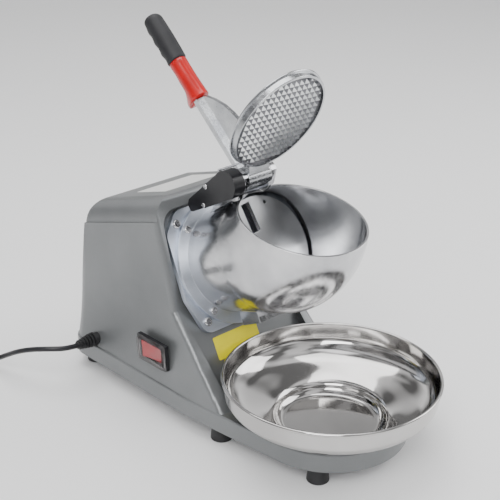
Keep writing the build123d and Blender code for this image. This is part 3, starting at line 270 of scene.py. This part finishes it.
# Lit and shaded copies of one aluminium for the tooth facets: a painted highlight and painted shade.
TOOTH_PAINTED_LIGHT = Finish("tooth_painted_light", (0.88, 0.89, 0.90), (0.80, 0.81, 0.82), (0.30, 0.40), Sheen.METAL,
                         mottle=60.0, grain=500.0, bump=0.02)
TOOTH_SHADE = Finish("tooth_shade", (0.20, 0.205, 0.215), (0.14, 0.145, 0.155), (0.38, 0.50), Sheen.METAL,
                     mottle=60.0, grain=500.0, bump=0.02)
# A dark copy of the plate's aluminium: painted shade on the plate's floor between the teeth.
PLATE_FLOOR_SHADE = Finish("plate_floor_shade", (0.20, 0.20, 0.21), (0.14, 0.14, 0.15), (0.35, 0.55), Sheen.METAL,
                     mottle=60.0, grain=500.0, bump=0.05)
STAINLESS = Finish("stainless", (0.56, 0.55, 0.54), (0.48, 0.47, 0.46), (0.05, 0.11), Sheen.METAL,
                   mottle=12.0, grain=500.0, stretch=(1.0, 1.0, 6.0), bump=0.02, depth=0.0001)
TURNED_STEEL = Finish("turned_steel", (0.60, 0.61, 0.62), (0.50, 0.51, 0.53), (0.28, 0.30), Sheen.METAL,
                      Pattern.TURNED, mottle=30.0, grain=60.0, bump=0.003, depth=0.0001)
PLATED_STEEL = Finish("plated_steel", (0.62, 0.62, 0.63), (0.48, 0.48, 0.50), (0.14, 0.26), Sheen.METAL,
                      mottle=120.0, grain=1500.0, bump=0.03)
DARK_STEEL = Finish("dark_steel", (0.10, 0.105, 0.115), (0.06, 0.06, 0.07), (0.18, 0.34), Sheen.METAL, mottle=80.0,
                    bump=0.04)
RUBBER = Finish("rubber", (0.010, 0.010, 0.011), (0.018, 0.018, 0.020), (0.42, 0.58), mottle=60.0, grain=1800.0,
                bump=0.20)
CORD_RUBBER = Finish("cord_rubber", (0.008, 0.008, 0.010), (0.014, 0.014, 0.017), (0.30, 0.42), mottle=70.0,
                     grain=1400.0, bump=0.08)
GRIP_RUBBER = Finish("grip_rubber", (0.010, 0.010, 0.012), (0.018, 0.018, 0.021), (0.48, 0.62), mottle=45.0,
                     grain=1500.0, bump=0.35, depth=0.0003)
BLACK_PLASTIC = Finish("black_plastic", (0.006, 0.006, 0.008), (0.011, 0.011, 0.013), (0.28, 0.40), mottle=50.0,
                       grain=1600.0, bump=0.12)
RED_PLASTIC = Finish("red_plastic", (0.58, 0.0, 0.0), (0.48, 0.0, 0.0), (0.18, 0.26), mottle=40.0,
                     grain=700.0, bump=0.04, coat=0.3, coat_rough=0.08)
ROCKER_RED = Finish("rocker_red", (0.50, 0.0, 0.008), (0.40, 0.0, 0.006), (0.16, 0.24), mottle=120.0,
                    bump=0.05, coat=0.3)
CLEAR_BOOT = Finish("clear_boot", (1.0, 0.97, 0.97), (0.97, 0.95, 0.95), (0.02, 0.06), mottle=60.0, grain=300.0,
                    bump=0.08, clear=1.0, ior=1.18)
WHITE_FILM = Finish("white_film", (0.84, 0.84, 0.82), (0.78, 0.78, 0.76), (0.30, 0.42), mottle=60.0, bump=0.06)
YELLOW_FILM = Finish("yellow_film", (0.98, 0.86, 0.001), (0.92, 0.80, 0.001), (0.26, 0.38), mottle=70.0, bump=0.06)
PALE_PLASTIC = Finish("pale_plastic", (0.55, 0.55, 0.54), (0.48, 0.48, 0.47), (0.35, 0.50), mottle=60.0)
BELT_RUBBER = Finish("belt_rubber", (0.020, 0.020, 0.020), (0.040, 0.038, 0.036), (0.60, 0.80), grain=2200.0,
                     bump=0.4)
FLOOR = Finish("pale_floor", (0.96, 0.96, 0.96), (0.95, 0.95, 0.95), (0.60, 0.70), mottle=2.0, grain=60.0, bump=0.0)


class FinishLibrary:
    """Makes each material once."""

    def __init__(self) -> None:
        """Starts with no materials made."""
        self._made: dict[str, bpy.types.Material] = {}

    def get(self, finish: Finish) -> bpy.types.Material:
        """Gives the material of a finish, building it the first time.

        Args:
            finish: Surface finish.

        Returns:
            The shared material.
        """
        if finish.name not in self._made:
            self._made[finish.name] = finish.make()
        return self._made[finish.name]


FINISHES = FinishLibrary()


# ---------------------------------------------------------------- shared workshop
@dataclass
class Workshop:
    """Makes, dresses and fixes pieces."""

    count: int = 0

    def dress(self, obj: bpy.types.Object, finish: Finish) -> None:
        """Gives an object its first material, and keeps which faces take the others.

        Args:
            obj: Object to dress.
            finish: Surface finish.
        """
        if obj.data.materials:
            obj.data.materials[0] = FINISHES.get(finish)
        else:
            obj.data.materials.append(FINISHES.get(finish))

    def keep(self, node: str, finish: Finish) -> None:
        """Keeps a CAD node's mesh and gives it a finish.

        Args:
            node: CAD node.
            finish: Surface finish.
        """
        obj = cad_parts[node]
        for index in range(max(1, len(obj.material_slots))):
            if obj.material_slots:
                obj.material_slots[index].link = "OBJECT"
                obj.material_slots[index].material = FINISHES.get(finish)
            else:
                self.dress(obj, finish)
        LOG.info("kept %s", node)

    def mark_sharp(self, bm: bmesh.types.BMesh, angle: float = SMOOTH_ANGLE) -> None:
        """Shades a mesh smooth, but for the edges past an angle.

        Args:
            bm: Mesh to work on.
            angle: Edges past it stay sharp.
        """
        for face in bm.faces:
            face.smooth = True
        for edge in bm.edges:
            edge.smooth = edge.is_manifold and edge.calc_face_angle(0.0) < angle

    def piece(self, name: str, bm: bmesh.types.BMesh, finish: Finish,
              angle: float = SMOOTH_ANGLE) -> bpy.types.Object:
        """Turns a bmesh into a dressed object.

        Args:
            name: Object's name.
            bm: Mesh, which is freed.
            finish: Surface finish.
            angle: Edges past this angle stay sharp.

        Returns:
            The new object.
        """
        self.mark_sharp(bm, angle)
        mesh = bpy.data.meshes.new(name)
        bm.to_mesh(mesh)
        bm.free()
        obj = bpy.data.objects.new(name, mesh)
        bpy.context.scene.collection.objects.link(obj)
        self.dress(obj, finish)
        self.count += 1
        return obj

    def refine(self, node: str, body: str, finish: Finish, bevel: float = 0.0,
               extra: Callable[[bmesh.types.BMesh], None] | None = None) -> bpy.types.Object:
        """Replaces a CAD node by a merged copy with smooth shading and broken edges.

        Args:
            node: CAD node.
            body: Body that it rides on.
            finish: Surface finish.
            bevel: Width of the broken edges, or 0.
            extra: Further work on the merged mesh.

        Returns:
            The new object.
        """
        bm = bmesh.new()
        bm.from_mesh(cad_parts[node].data)
        bmesh.ops.remove_doubles(bm, verts=bm.verts, dist=1e-6)
        bmesh.ops.dissolve_degenerate(bm, edges=bm.edges, dist=1e-6)
        if extra:
            extra(bm)
        obj = self.piece(f"{node}_form", bm, finish)
        if bevel:
            edge = obj.modifiers.new("broken_edges", "BEVEL")
            edge.width = bevel
            edge.segments = 2
            edge.limit_method = "ANGLE"
            edge.angle_limit = math.radians(50)
            edge.use_clamp_overlap = True
        weighted = obj.modifiers.new("weighted", "WEIGHTED_NORMAL")
        weighted.keep_sharp = True
        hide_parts(node)
        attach(obj, body)
        LOG.info("refined %s", node)
        return obj

    def lathe(self, profile: Iterable[tuple[float, float]], steps: int, place: Matrix,
              closed: bool = True) -> bmesh.types.BMesh:
        """Spins a profile of (radius, height) points about Z.

        Args:
            profile: Points of the section, in metres.
            steps: Segments round the turn.
            place: Where the spun form goes.
            closed: True if the section's ends join.

        Returns:
            The spun mesh with its faces pointing outwards.
        """
        bm = bmesh.new()
        verts = [bm.verts.new((r, 0, z)) for r, z in profile]
        ends = verts[1:] + verts[:1] if closed else verts[1:]
        edges = [bm.edges.new((a, b)) for a, b in zip(verts, ends)]
        bmesh.ops.spin(bm, geom=verts + edges, cent=(0, 0, 0), axis=(0, 0, 1), angle=2 * math.pi, steps=steps,
                       use_merge=True, use_duplicate=False)
        bmesh.ops.remove_doubles(bm, verts=bm.verts, dist=1e-6)
        bmesh.ops.dissolve_degenerate(bm, edges=bm.edges, dist=1e-7)
        bmesh.ops.recalc_face_normals(bm, faces=bm.faces)
        bmesh.ops.transform(bm, matrix=place, verts=bm.verts)
        return bm

    def arc(self, centre: tuple[float, float], radius: float, start: float, end: float,
            steps: int) -> list[tuple[float, float]]:
        """Points of an arc, with its angles in degrees.

        Args:
            centre: Its centre.
            radius: Its radius.
            start: First angle.
            end: Last angle.
            steps: Number of steps.

        Returns:
            Its points.
        """
        angles = [math.radians(start + (end - start) * i / steps) for i in range(steps + 1)]
        return [(centre[0] + radius * math.cos(a), centre[1] + radius * math.sin(a)) for a in angles]


SHOP = Workshop()


def through(points: list[tuple[float, float]], steps: int) -> list[tuple[float, float]]:
    """Smooth line through a few points, by Catmull-Rom.

    Args:
        points: Points to pass through.
        steps: Divisions of each span.

    Returns:
        The points of the smooth line.
    """
    padded = [points[0], *points, points[-1]]
    line = []
    for a, b, c, d in zip(padded, padded[1:], padded[2:], padded[3:]):
        for i in range(steps):
            t = i / steps
            line.append(tuple(0.5 * (2 * q + (r - p) * t + (2 * p - 5 * q + 4 * r - s) * t * t
                                     + (3 * q - p - 3 * r + s) * t ** 3) for p, q, r, s in zip(a, b, c, d)))
    line.append(points[-1])
    return line


# ---------------------------------------------------------------- studio
@dataclass
class Studio:
    """Floor, lights and camera."""

    eye: Vector = field(default_factory=lambda: Vector((-0.8937, -0.9195, 0.7920)))
    azimuth: float = math.radians(-43.68)
    elevation: float = math.radians(23.99)
    lens: float = 81.32
    room_scale: float = 2.2
    room_shift: tuple[float, float, float] = (3.1, 1.2, 0.4)

    def camera(self) -> None:
        """Sets up the camera at its viewing angle."""
        data = bpy.data.cameras.new("camera")
        data.sensor_width = 36.0
        data.lens = self.lens
        data.clip_start, data.clip_end = 0.02, 60.0
        cam = bpy.data.objects.new("camera", data)
        bpy.context.scene.collection.objects.link(cam)
        a, e = self.azimuth, self.elevation
        back = Vector((math.sin(a) * math.cos(e), -math.cos(a) * math.cos(e), math.sin(e)))
        right = Vector((math.cos(a), math.sin(a), 0.0))
        up = back.cross(right)
        roll = math.radians(0.3)
        right, up = right * math.cos(roll) + up * math.sin(roll), up * math.cos(roll) - right * math.sin(roll)
        cam.matrix_world = Matrix.Translation(self.eye) @ Matrix((right, up, back)).transposed().to_4x4()
        bpy.context.scene.camera = cam

    def floor(self) -> None:
        """Lays a wide pale floor."""
        bm = bmesh.new()
        bmesh.ops.create_grid(bm, x_segments=1, y_segments=1, size=12.0)
        obj = SHOP.piece("studio_floor", bm, FLOOR)

    def softbox(self, name: str, place: tuple[float, float, float], size: tuple[float, float], power: float) -> None:
        """Hangs one rectangular soft light aimed at the object's middle.

        Args:
            name: Object's name.
            place: Texture coordinates.
            size: Width and height.
            power: Watts.
        """
        data = bpy.data.lights.new(name, "AREA")
        data.shape = "RECTANGLE"
        data.size, data.size_y = size
        data.energy = power
        obj = bpy.data.objects.new(name, data)
        bpy.context.scene.collection.objects.link(obj)
        obj.location = place
        obj.rotation_euler = (Vector((0, 0, 0.18)) - Vector(place)).to_track_quat("-Z", "Y").to_euler()

    def sky(self) -> None:
        """Gives the surroundings a bright top, a grey band and a pale base for the metal to reflect."""
        world = bpy.data.worlds.new("surroundings")
        world.use_nodes = True
        bpy.context.scene.world = world
        nodes, links = world.node_tree.nodes, world.node_tree.links
        place = nodes.new("ShaderNodeTexCoord")
        split = nodes.new("ShaderNodeSeparateXYZ")
        links.new(place.outputs["Generated"], split.inputs["Vector"])
        ramp = nodes.new("ShaderNodeValToRGB")
        stops = ((0.0, 0.85), (0.49, 0.90), (0.53, 0.12), (0.60, 0.20), (0.68, 1.0), (0.80, 0.60), (1.0, 1.0))
        height = nodes.new("ShaderNodeMapRange")
        height.inputs["From Min"].default_value = -1.0
        links.new(split.outputs["Z"], height.inputs["Value"])
        links.new(height.outputs["Result"], ramp.inputs["Fac"])
        elements = ramp.color_ramp.elements
        while len(elements) < len(stops):
            elements.new(0.5)
        for element, (at, grey) in zip(elements, stops):
            element.position = at
            element.color = (grey, grey, grey * 1.01, 1)
        clouds = nodes.new("ShaderNodeTexNoise")
        clouds.inputs["Scale"].default_value = self.room_scale
        clouds.inputs["Detail"].default_value = 1.0
        shift = nodes.new("ShaderNodeMapping")
        shift.inputs["Location"].default_value = self.room_shift
        links.new(place.outputs["Generated"], shift.inputs["Vector"])
        links.new(shift.outputs["Vector"], clouds.inputs["Vector"])
        share = nodes.new("ShaderNodeMapRange")
        share.inputs["From Min"].default_value = 0.42
        share.inputs["From Max"].default_value = 0.56
        share.inputs["To Min"].default_value = 0.30
        share.inputs["To Max"].default_value = 1.45
        links.new(clouds.outputs["Fac"], share.inputs["Value"])
        room = nodes.new("ShaderNodeVectorMath")
        room.operation = "SCALE"
        links.new(ramp.outputs["Color"], room.inputs[0])
        links.new(share.outputs["Result"], room.inputs["Scale"])
        back = nodes["Background"]
        links.new(room.outputs["Vector"], back.inputs["Color"])
        back.inputs["Strength"].default_value = 0.95

    def build(self) -> None:
        """Builds the whole studio."""
        self.camera()
        self.floor()
        self.sky()
        self.softbox("key", (-1.5, -1.2, 1.9), (1.3, 1.3), 38.0)
        self.softbox("fill", (1.7, -0.9, 1.2), (1.2, 1.6), 22.0)
        self.softbox("top", (0.1, 0.5, 2.3), (1.8, 1.8), 34.0)
        LOG.info("studio ready")


# ---------------------------------------------------------------- mains lead
@dataclass
class MainsLead:
    """Free mains lead: sleeve, lead with its put-away coil, and plug."""

    route: tuple[tuple[float, float, float], ...] = (
        (-0.1403, 0.205, 0.0565), (-0.157, 0.2055, 0.058), (-0.175, 0.216, 0.060), (-0.188, 0.235, 0.057),
        (-0.195, 0.264, 0.045), (-0.197, 0.296, 0.026), (-0.206, 0.324, 0.009), (-0.222, 0.348, 0.0036))
    per_turn: int = 18
    turns: int = 6
    floor_z: float = CORD_DIAMETER / 2 + 0.0001

    def ring(self, turn: float) -> tuple[float, float]:
        """Radius and height of the winding after so many turns.

        Args:
            turn: Turns so far.

        Returns:
            The point.
        """
        layer_turns = self.turns // 2
        columns = [COIL_MEAN_RADIUS + CORD_DIAMETER * c for c in (1, 0, -1)]
        radii = columns + columns[::-1]
        heights = [0.0] * layer_turns + [CORD_DIAMETER] * layer_turns
        whole = min(int(turn), self.turns - 1)
        part = turn - whole
        ease = max(0.0, (part - 0.84) / 0.16)
        after = min(whole + 1, self.turns - 1)
        radius = radii[whole] + (radii[after] - radii[whole]) * ease
        height = heights[whole] + (heights[after] - heights[whole]) * ease
        return radius, self.floor_z + height

    def winding(self) -> list[Vector]:
        """Points of the coil's turns, from the lead's arrival to its leaving for the plug.

        Returns:
            The points.
        """
        points = []
        arrive, leave = 0.12, self.turns + 0.125
        total = int(self.per_turn * leave)
        for i in range(total + 1):
            turn = leave * i / total
            angle = math.pi / 4 + 2 * math.pi * turn
            radius, z = self.ring(min(turn, self.turns - 0.001))
            if turn < arrive:
                radius += (OUTER_TURN - radius) * (1 - turn / arrive)
            if turn > self.turns:
                radius, z = self.ring(self.turns - 1.0)
                radius += (OUTER_TURN - radius) * (turn - self.turns) / 0.125
                z = self.floor_z + CORD_DIAMETER
            points.append(COIL_CENTRE + Vector((radius * math.cos(angle), radius * math.sin(angle), z)))
        return points

    def lead(self) -> bpy.types.Object:
        """Draws the lead on one smooth curve from the sleeve to the plug.

        Returns:
            The curve object.
        """
        points = [Vector(p) for p in self.route] + self.winding()
        z = 3 * CORD_DIAMETER / 2
        points += [COIL_CENTRE + Vector((-d, OUTER_TURN, z)) for d in (0.012, 0.024, TAIL_LENGTH)]
        data = bpy.data.curves.new("mains_lead", "CURVE")
        data.dimensions = "3D"
        spline = data.splines.new("NURBS")
        spline.points.add(len(points) - 1)
        for point, place in zip(spline.points, points):
            point.co = (*place, 1.0)
        spline.order_u = 3
        spline.use_endpoint_u = True
        spline.resolution_u = 6
        data.bevel_depth = CORD_DIAMETER / 2
        data.bevel_resolution = 4
        data.use_fill_caps = True
        obj = bpy.data.objects.new("mains_lead", data)
        bpy.context.scene.collection.objects.link(obj)
        SHOP.dress(obj, CORD_RUBBER)
        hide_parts("power_cord", "cord_coil", "cord_tail")
        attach(obj, "frame")
        return obj

    def build(self) -> None:
        """Builds the lead and what is on it."""
        lead = self.lead()
        sleeve = SHOP.refine("strain_relief", "frame", RUBBER, 0.0004)
        plug = SHOP.refine("plug_body", "frame", BLACK_PLASTIC, 0.0004)
        SHOP.keep("plug_pins", PLATED_STEEL)
        LOG.info("mains lead done with %s", sleeve.name)


# ---------------------------------------------------------------- catch bowl
@dataclass
class CatchBowl:
    """Pressed stainless bowl with a rolled rim."""

    rim_radius: float = 0.135
    rim_z: float = 0.0995
    foot_z: float = 0.0315
    foot_radius: float = 0.064
    wall: float = 0.0016
    bead: float = 0.0022

    def side(self, inset: float) -> list[tuple[float, float]]:
        """Section of one skin, from the foot to the rim.

        Args:
            inset: Distance in from the outer face.

        Returns:
            The section, from the middle outwards.
        """
        z = self.foot_z + inset
        slant = inset * 0.55
        foot = [(self.foot_radius - 0.010 - slant, z), (self.foot_radius - 0.003 - slant, z + 0.0005),
                (self.foot_radius + 0.003 - slant, z + 0.0050), (self.foot_radius + 0.0075 - slant, z + 0.0120)]
        curve = through([*foot, (0.085 - inset * 0.6, z + 0.0178), (0.107 - inset * 0.7, z + 0.0245),
                         (0.120 - inset * 0.9, z + 0.0315), (0.127 - inset, z + 0.038), (0.1304 - inset, z + 0.0435),
                         (self.rim_radius - 0.0036 - inset, z + 0.049)], 6)
        return [*curve, (self.rim_radius - 0.0018 - inset, self.rim_z - 0.003)]

    def build(self) -> None:
        """Builds the bowl."""
        outer, inner = self.side(0.0), self.side(self.wall)
        floor_in = self.foot_z + self.wall
        recess = [(0.0, self.foot_z), (0.040, self.foot_z)]
        dish = [(0.048, floor_in + 0.0001), (0.0, floor_in + 0.0001)]
        rolled = SHOP.arc((self.rim_radius - self.bead, self.rim_z - self.bead), self.bead, -60, 190, 10)
        profile = recess + outer + rolled + inner[::-1] + dish
        bm = SHOP.lathe(profile, 128, Matrix.Translation((0, BOWL_Y, 0)))
        obj = SHOP.piece("catch_bowl", bm, STAINLESS, math.radians(40))
        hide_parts("ice_bowl")
        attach(obj, "bowl")
        LOG.info("catch bowl done")


# ---------------------------------------------------------------- press plate and lever
@dataclass
class PressLever:
    """Lever with its toothed plate, collar and grip."""

    plate_radius: float = 0.0666
    plate_depth: float = 0.0105
    rim_width: float = 0.0030
    tooth_pitch: float = 0.0083
    tooth_height: float = 0.0036
    collar_start: float = 0.122
    collar_end: float = 0.180
    grip_end: float = 0.250
    grip_radius: float = 0.0134

    def plate(self) -> None:
        """Builds the plate's dished back and its rim, with painted shade on the floor inside the rim."""
        r, lip, deep = self.plate_radius, 0.0024, self.plate_depth
        profile = [(0.0, -deep), (r + lip - 0.0012, -deep)]
        profile += SHOP.arc((r + lip - 0.0014, -deep + 0.0014), 0.0014, -90, 90, 5)
        profile += [(r, -deep + 0.0032), (r, -0.0012)]
        profile += SHOP.arc((r - 0.0008, -0.0008), 0.0008, 0, 90, 4)
        profile += [(r - self.rim_width, 0.0), (r - self.rim_width, -0.0030), (0.0, -0.0030)]
        bm = SHOP.lathe(profile, 128, press_frame())
        inverse = press_frame().inverted()
        for face in bm.faces:
            at = inverse @ face.calc_center_median()
            floor = at.z > -0.0035 and math.hypot(at.x, at.y) < r - self.rim_width - 0.0002
            # Faces of the floor inside the rim take painted shade.
            face.material_index = int(floor)
        obj = SHOP.piece("press_plate_form", bm, LEVER_ALUMINIUM)
        obj.data.materials.append(FINISHES.get(PLATE_FLOOR_SHADE))
        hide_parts("press_plate")
        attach(obj, "lever")

    def teeth(self) -> None:
        """Builds the rows of square pyramids on the plate's face; facets turned towards -X take a painted highlight,
        the other sloping facets painted shade.
        """
        bm = bmesh.new()
        place = press_frame()
        pitch, reach = self.tooth_pitch, self.plate_radius - self.rim_width
        count = int(reach // pitch) + 1
        for i in range(-count, count + 1):
            for j in range(-count, count + 1):
                x, y = (i + 0.5) * pitch, (j + 0.5) * pitch
                if math.hypot(x, y) > reach - pitch * 0.28:
                    continue
                shrink = min(1.0, (reach - math.hypot(x, y)) / (pitch * 0.62))
                foot = pitch / math.sqrt(2) * 0.90 * shrink
                at = place @ Matrix.Translation((x, y, -0.0031 + self.tooth_height * shrink / 2))
                made = bmesh.ops.create_cone(bm, cap_ends=True, segments=4, radius1=foot, radius2=foot * 0.16,
                                             depth=self.tooth_height * shrink)
                turn = Matrix.Rotation(math.pi / 4, 4, "Z")
                bmesh.ops.transform(bm, matrix=at @ turn, verts=made["verts"])
        facing = (place.to_3x3() @ Vector((0.0, 0.0, 1.0))).normalized()
        bm.normal_update()
        # Facets facing -X keep the painted highlight (index 0); the others take painted shade (index 1).
        for face in bm.faces:
            side = face.normal - facing * face.normal.dot(facing)
            face.material_index = int(side.x > -0.3 * side.length)
        obj = SHOP.piece("press_plate_teeth", bm, TOOTH_PAINTED_LIGHT, math.radians(10))
        obj.data.materials.append(FINISHES.get(TOOTH_SHADE))
        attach(obj, "lever")

    def sleeve(self, name: str, node: str, slot: str, finish: Finish, profile: list[tuple[float, float]],
               shape: Callable[[Vector], Vector]) -> None:
        """Spins a sleeve about the handle and shapes it.

        Args:
            name: Object's name.
            node: CAD node that it stands for.
            slot: Not used.
            finish: Surface finish.
            profile: Section as (radius, along) points.
            shape: Moves one vertex in the handle's axes.
        """
        bm = SHOP.lathe(profile, 64, Matrix.Identity(4))
        for vert in bm.verts:
            vert.co = shape(vert.co)
        bmesh.ops.transform(bm, matrix=handle_frame(), verts=bm.verts)
        obj = SHOP.piece(name, bm, finish, math.radians(50))
        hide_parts(node)
        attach(obj, "lever")

    def collar(self) -> None:
        """Red collar: wide and flat at its foot, round where the grip starts."""
        start, end = self.collar_start, self.collar_end
        length = end - start
        rows = 14
        profile = [(0.0, start), (0.0128, start), (0.0140, start + 0.0012)]
        for i in range(1, rows):
            share = i / rows
            profile.append((0.0140 - 0.0022 * share ** 0.7 - 0.0006 * math.sin(math.pi * share),
                            start + length * share))
        profile += [(0.0116, end - 0.0012), (0.0108, end), (0.0, end)]

        def shape(co: Vector) -> Vector:
            share = (co.z - start) / length
            side = max(0.0, co.y / max(0.004, math.hypot(co.x, co.y)))
            hook = 0.80 * side ** 2 * math.exp(-((share - 0.10) / 0.16) ** 2)
            bumps = 0.06 * side * math.sin(2 * math.pi * (2.2 * share + 0.1))
            flat = 1.0 + hook + bumps
            return Vector((co.x * (1 - 0.12 * (1 - share)), co.y * flat, co.z))

        self.sleeve("collar_form", "grip_red", "red_plastic", RED_PLASTIC, profile, shape)

    def grip(self) -> None:
        """Black grip with finger bumps on its underside."""
        start, end, r = self.collar_end, self.grip_end, self.grip_radius
        rows = 40
        round_r = 0.009
        profile = [(0.0, start), (r - 0.0012, start), (r - 0.0003, start + 0.0010)]
        body_end = end - round_r
        profile += [(r, start + 0.002 + (body_end - start - 0.002) * i / rows) for i in range(rows + 1)]
        profile += [(r - round_r + x, body_end + z) for x, z in
                    ((round_r * math.cos(a), round_r * math.sin(a)) for a in
                     (math.radians(90 * i / 10) for i in range(1, 11)))]
        profile.append((0.0, end))

        def shape(co: Vector) -> Vector:
            share = (co.z - start) / (end - start)
            side = max(0.0, co.y / max(0.004, math.hypot(co.x, co.y)))
            wave = 0.5 - 0.5 * math.cos(2 * math.pi * 4 * share)
            swell = 1.0 - 0.17 * wave * side ** 1.5 - 0.05 * (1 - math.sin(math.pi * min(1.0, share * 1.1)))
            return Vector((co.x * swell, co.y * swell, co.z))

        self.sleeve("hand_grip_form", "grip_black", "black_plastic", GRIP_RUBBER, profile, shape)

    def build(self) -> None:
        """Builds the lever's pieces."""
        self.plate()
        self.teeth()
        self.collar()
        self.grip()
        SHOP.refine("press_arm", "lever", LEVER_ALUMINIUM, 0.0008)
        SHOP.keep("press_plate_screws", PLATED_STEEL)
        SHOP.keep("lever_cam", BLACK_PLASTIC)
        if "cross_pin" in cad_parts:
            SHOP.keep("cross_pin", PLATED_STEEL)
        LOG.info("press lever done")


# ---------------------------------------------------------------- casing, drum and switch
@dataclass
class Casing:
    """Painted casing, base, labels and feet."""

    edge: float = 0.0005

    def build(self) -> None:
        """Builds the casing's pieces."""
        SHOP.refine("housing_shell", "frame", GREY_PAINT)
        SHOP.refine("base_pan", "frame", GREY_PAINT)
        SHOP.keep("bottom_plate", PLATED_STEEL)
        for row in ("rear", "mid", "front"):
            for side in ("left", "right"):
                SHOP.refine(f"foot_{row}_{side}", "frame", RUBBER, self.edge)
        SHOP.keep("foot_screws", PLATED_STEEL)
        SHOP.refine("top_label", "frame", WHITE_FILM)
        SHOP.refine("front_label", "frame", YELLOW_FILM)
        LOG.info("casing done")


@dataclass
class DrumAndDrive:
    """Drum casting, hopper, cutter and the hidden drive."""

    edge: float = 0.0006
    ring_z: float = -0.0695
    ring_radius: float = 0.0665

    def flange_ring(self, bm: bmesh.types.BMesh) -> None:
        """Marks the hopper's flange ring and neck fillet, which are left as cast.

        Args:
            bm: Mesh to work on.
        """
        inverse = spindle_frame().inverted()
        for face in bm.faces:
            at = inverse @ face.calc_center_median()
            face.material_index = int(at.z < self.ring_z and math.hypot(at.x, at.y) > self.ring_radius)

    def build(self) -> None:
        """Builds the drum's pieces and dresses the drive."""
        SHOP.refine("drum_flange", "frame", CAST_ALUMINIUM, self.edge)
        hopper = SHOP.refine("hopper", "frame", POLISHED_ALUMINIUM, self.edge, self.flange_ring)
        hopper.data.materials.append(FINISHES.get(CAST_ALUMINIUM))
        SHOP.refine("cutter_disc", "spindle", TURNED_STEEL, 0.0004)
        SHOP.refine("blades", "spindle", PLATED_STEEL, 0.0002)
        SHOP.refine("spindle_shaft", "spindle", PLATED_STEEL, 0.0004)
        for node in ("hopper_screws", "flange_screws"):
            SHOP.refine(node, "frame", PLATED_STEEL, 0.0004)
        SHOP.refine("blade_screws", "spindle", PLATED_STEEL, 0.0002)
        SHOP.refine("hinge_pin", "frame", DARK_STEEL, 0.0005)
        kept = {"driven_pulley": CAST_ALUMINIUM, "spindle_nut": PLATED_STEEL, "bearing_front": PLATED_STEEL,
                "bearing_rear": PLATED_STEEL, "drive_belt": BELT_RUBBER, "motor_can": DARK_STEEL,
                "motor_bell_front": CAST_ALUMINIUM, "motor_bell_rear": CAST_ALUMINIUM, "motor_rotor": PLATED_STEEL,
                "drive_pulley": CAST_ALUMINIUM, "cooling_fan": BLACK_PLASTIC, "motor_bracket": PLATED_STEEL,
                "motor_screws": PLATED_STEEL, "capacitor": PALE_PLASTIC, "capacitor_clip": PLATED_STEEL,
                "terminal_block": PALE_PLASTIC}
        for node, finish in kept.items():
            SHOP.keep(node, finish)
        LOG.info("drum and drive done")


@dataclass
class Switches:
    """Mains rocker switch and the lever's safety switch."""

    edge: float = 0.0005
    centre: tuple[float, float, float] = (-0.106, 0.081, 0.086)
    pitch: float = math.radians(4.0)
    widen: tuple[float, float] = (1.20, 1.12)
    pocket: tuple[float, float] = (0.0171, 0.0111)
    boot_start: float = 0.005
    boot_keep: float = 0.62
    pin_z: float = -0.003
    pin_radius: float = 0.0016
    pin_keep: float = 0.6
    floor_z: float = -0.009
    deepen: float = 0.0020

    def axes(self) -> Matrix:
        """Axes of the mains switch: Z leaves the casing's side.

        Returns:
            Those axes.
        """
        turn = Matrix.Rotation(-math.pi / 2, 4, "Y") @ Matrix.Rotation(-math.pi / 2, 4, "Z")
        return Matrix.Translation(self.centre) @ turn @ Matrix.Rotation(self.pitch, 4, "X")

    def open_pocket(self, bm: bmesh.types.BMesh) -> None:
        """Widens the rocker, or the pocket it sits in, and leaves the bezel's outline.

        Args:
            bm: Mesh to work on.
        """
        axes = self.axes()
        inverse = axes.inverted()
        for vert in bm.verts:
            at = inverse @ vert.co
            if abs(at.x) < self.pocket[0] and abs(at.y) < self.pocket[1]:
                vert.co = axes @ Vector((at.x * self.widen[0], at.y * self.widen[1], at.z))

    def open_body(self, bm: bmesh.types.BMesh) -> None:
        """Slims the pin that the rocker hides, and deepens and widens the body's pocket.

        Args:
            bm: Mesh to work on.
        """
        axes = self.axes()
        inverse = axes.inverted()
        for vert in bm.verts:
            at = inverse @ vert.co
            if math.hypot(at.x, at.z - self.pin_z) < self.pin_radius:
                at.x *= self.pin_keep
                at.z = self.pin_z + (at.z - self.pin_z) * self.pin_keep
                vert.co = axes @ at
            elif abs(at.z - self.floor_z) < self.edge and abs(at.x) < self.pocket[0] and abs(at.y) < self.pocket[1]:
                vert.co = axes @ (at - Vector((0.0, 0.0, self.deepen)))
        self.open_pocket(bm)

    def lower_boot(self, bm: bmesh.types.BMesh) -> None:
        """Gives the splash cover its low dome.

        Args:
            bm: Mesh to work on.
        """
        axes = self.axes()
        inverse = axes.inverted()
        for vert in bm.verts:
            at = inverse @ vert.co
            at.z = self.boot_start + (at.z - self.boot_start) * self.boot_keep
            vert.co = axes @ at

    def build(self) -> None:
        """Builds both switches."""
        SHOP.refine("switch_body", "frame", BLACK_PLASTIC, self.edge, self.open_body)
        SHOP.refine("power_rocker", "rocker", ROCKER_RED, self.edge, self.open_pocket)
        SHOP.refine("switch_boot", "frame", CLEAR_BOOT, 0.0, self.lower_boot)
        SHOP.refine("switch_cover", "frame", BLACK_PLASTIC, 0.0012)
        SHOP.refine("cover_screws", "frame", PLATED_STEEL, 0.0003)
        SHOP.keep("switch_bracket", PLATED_STEEL)
        SHOP.keep("safety_switch", BLACK_PLASTIC)
        SHOP.keep("switch_plunger", BLACK_PLASTIC)
        LOG.info("switches done")


def main() -> None:
    """Builds the studio and every sub-assembly, in order."""
    logging.basicConfig(level=logging.INFO, format="%(name)s: %(message)s")
    Studio().build()
    MainsLead().build()
    for assembly in (CatchBowl(), PressLever(), Casing(), DrumAndDrive(), Switches()):
        assembly.build()
    LOG.info("%d pieces made", SHOP.count)


if __name__ == "__main__":
    main()
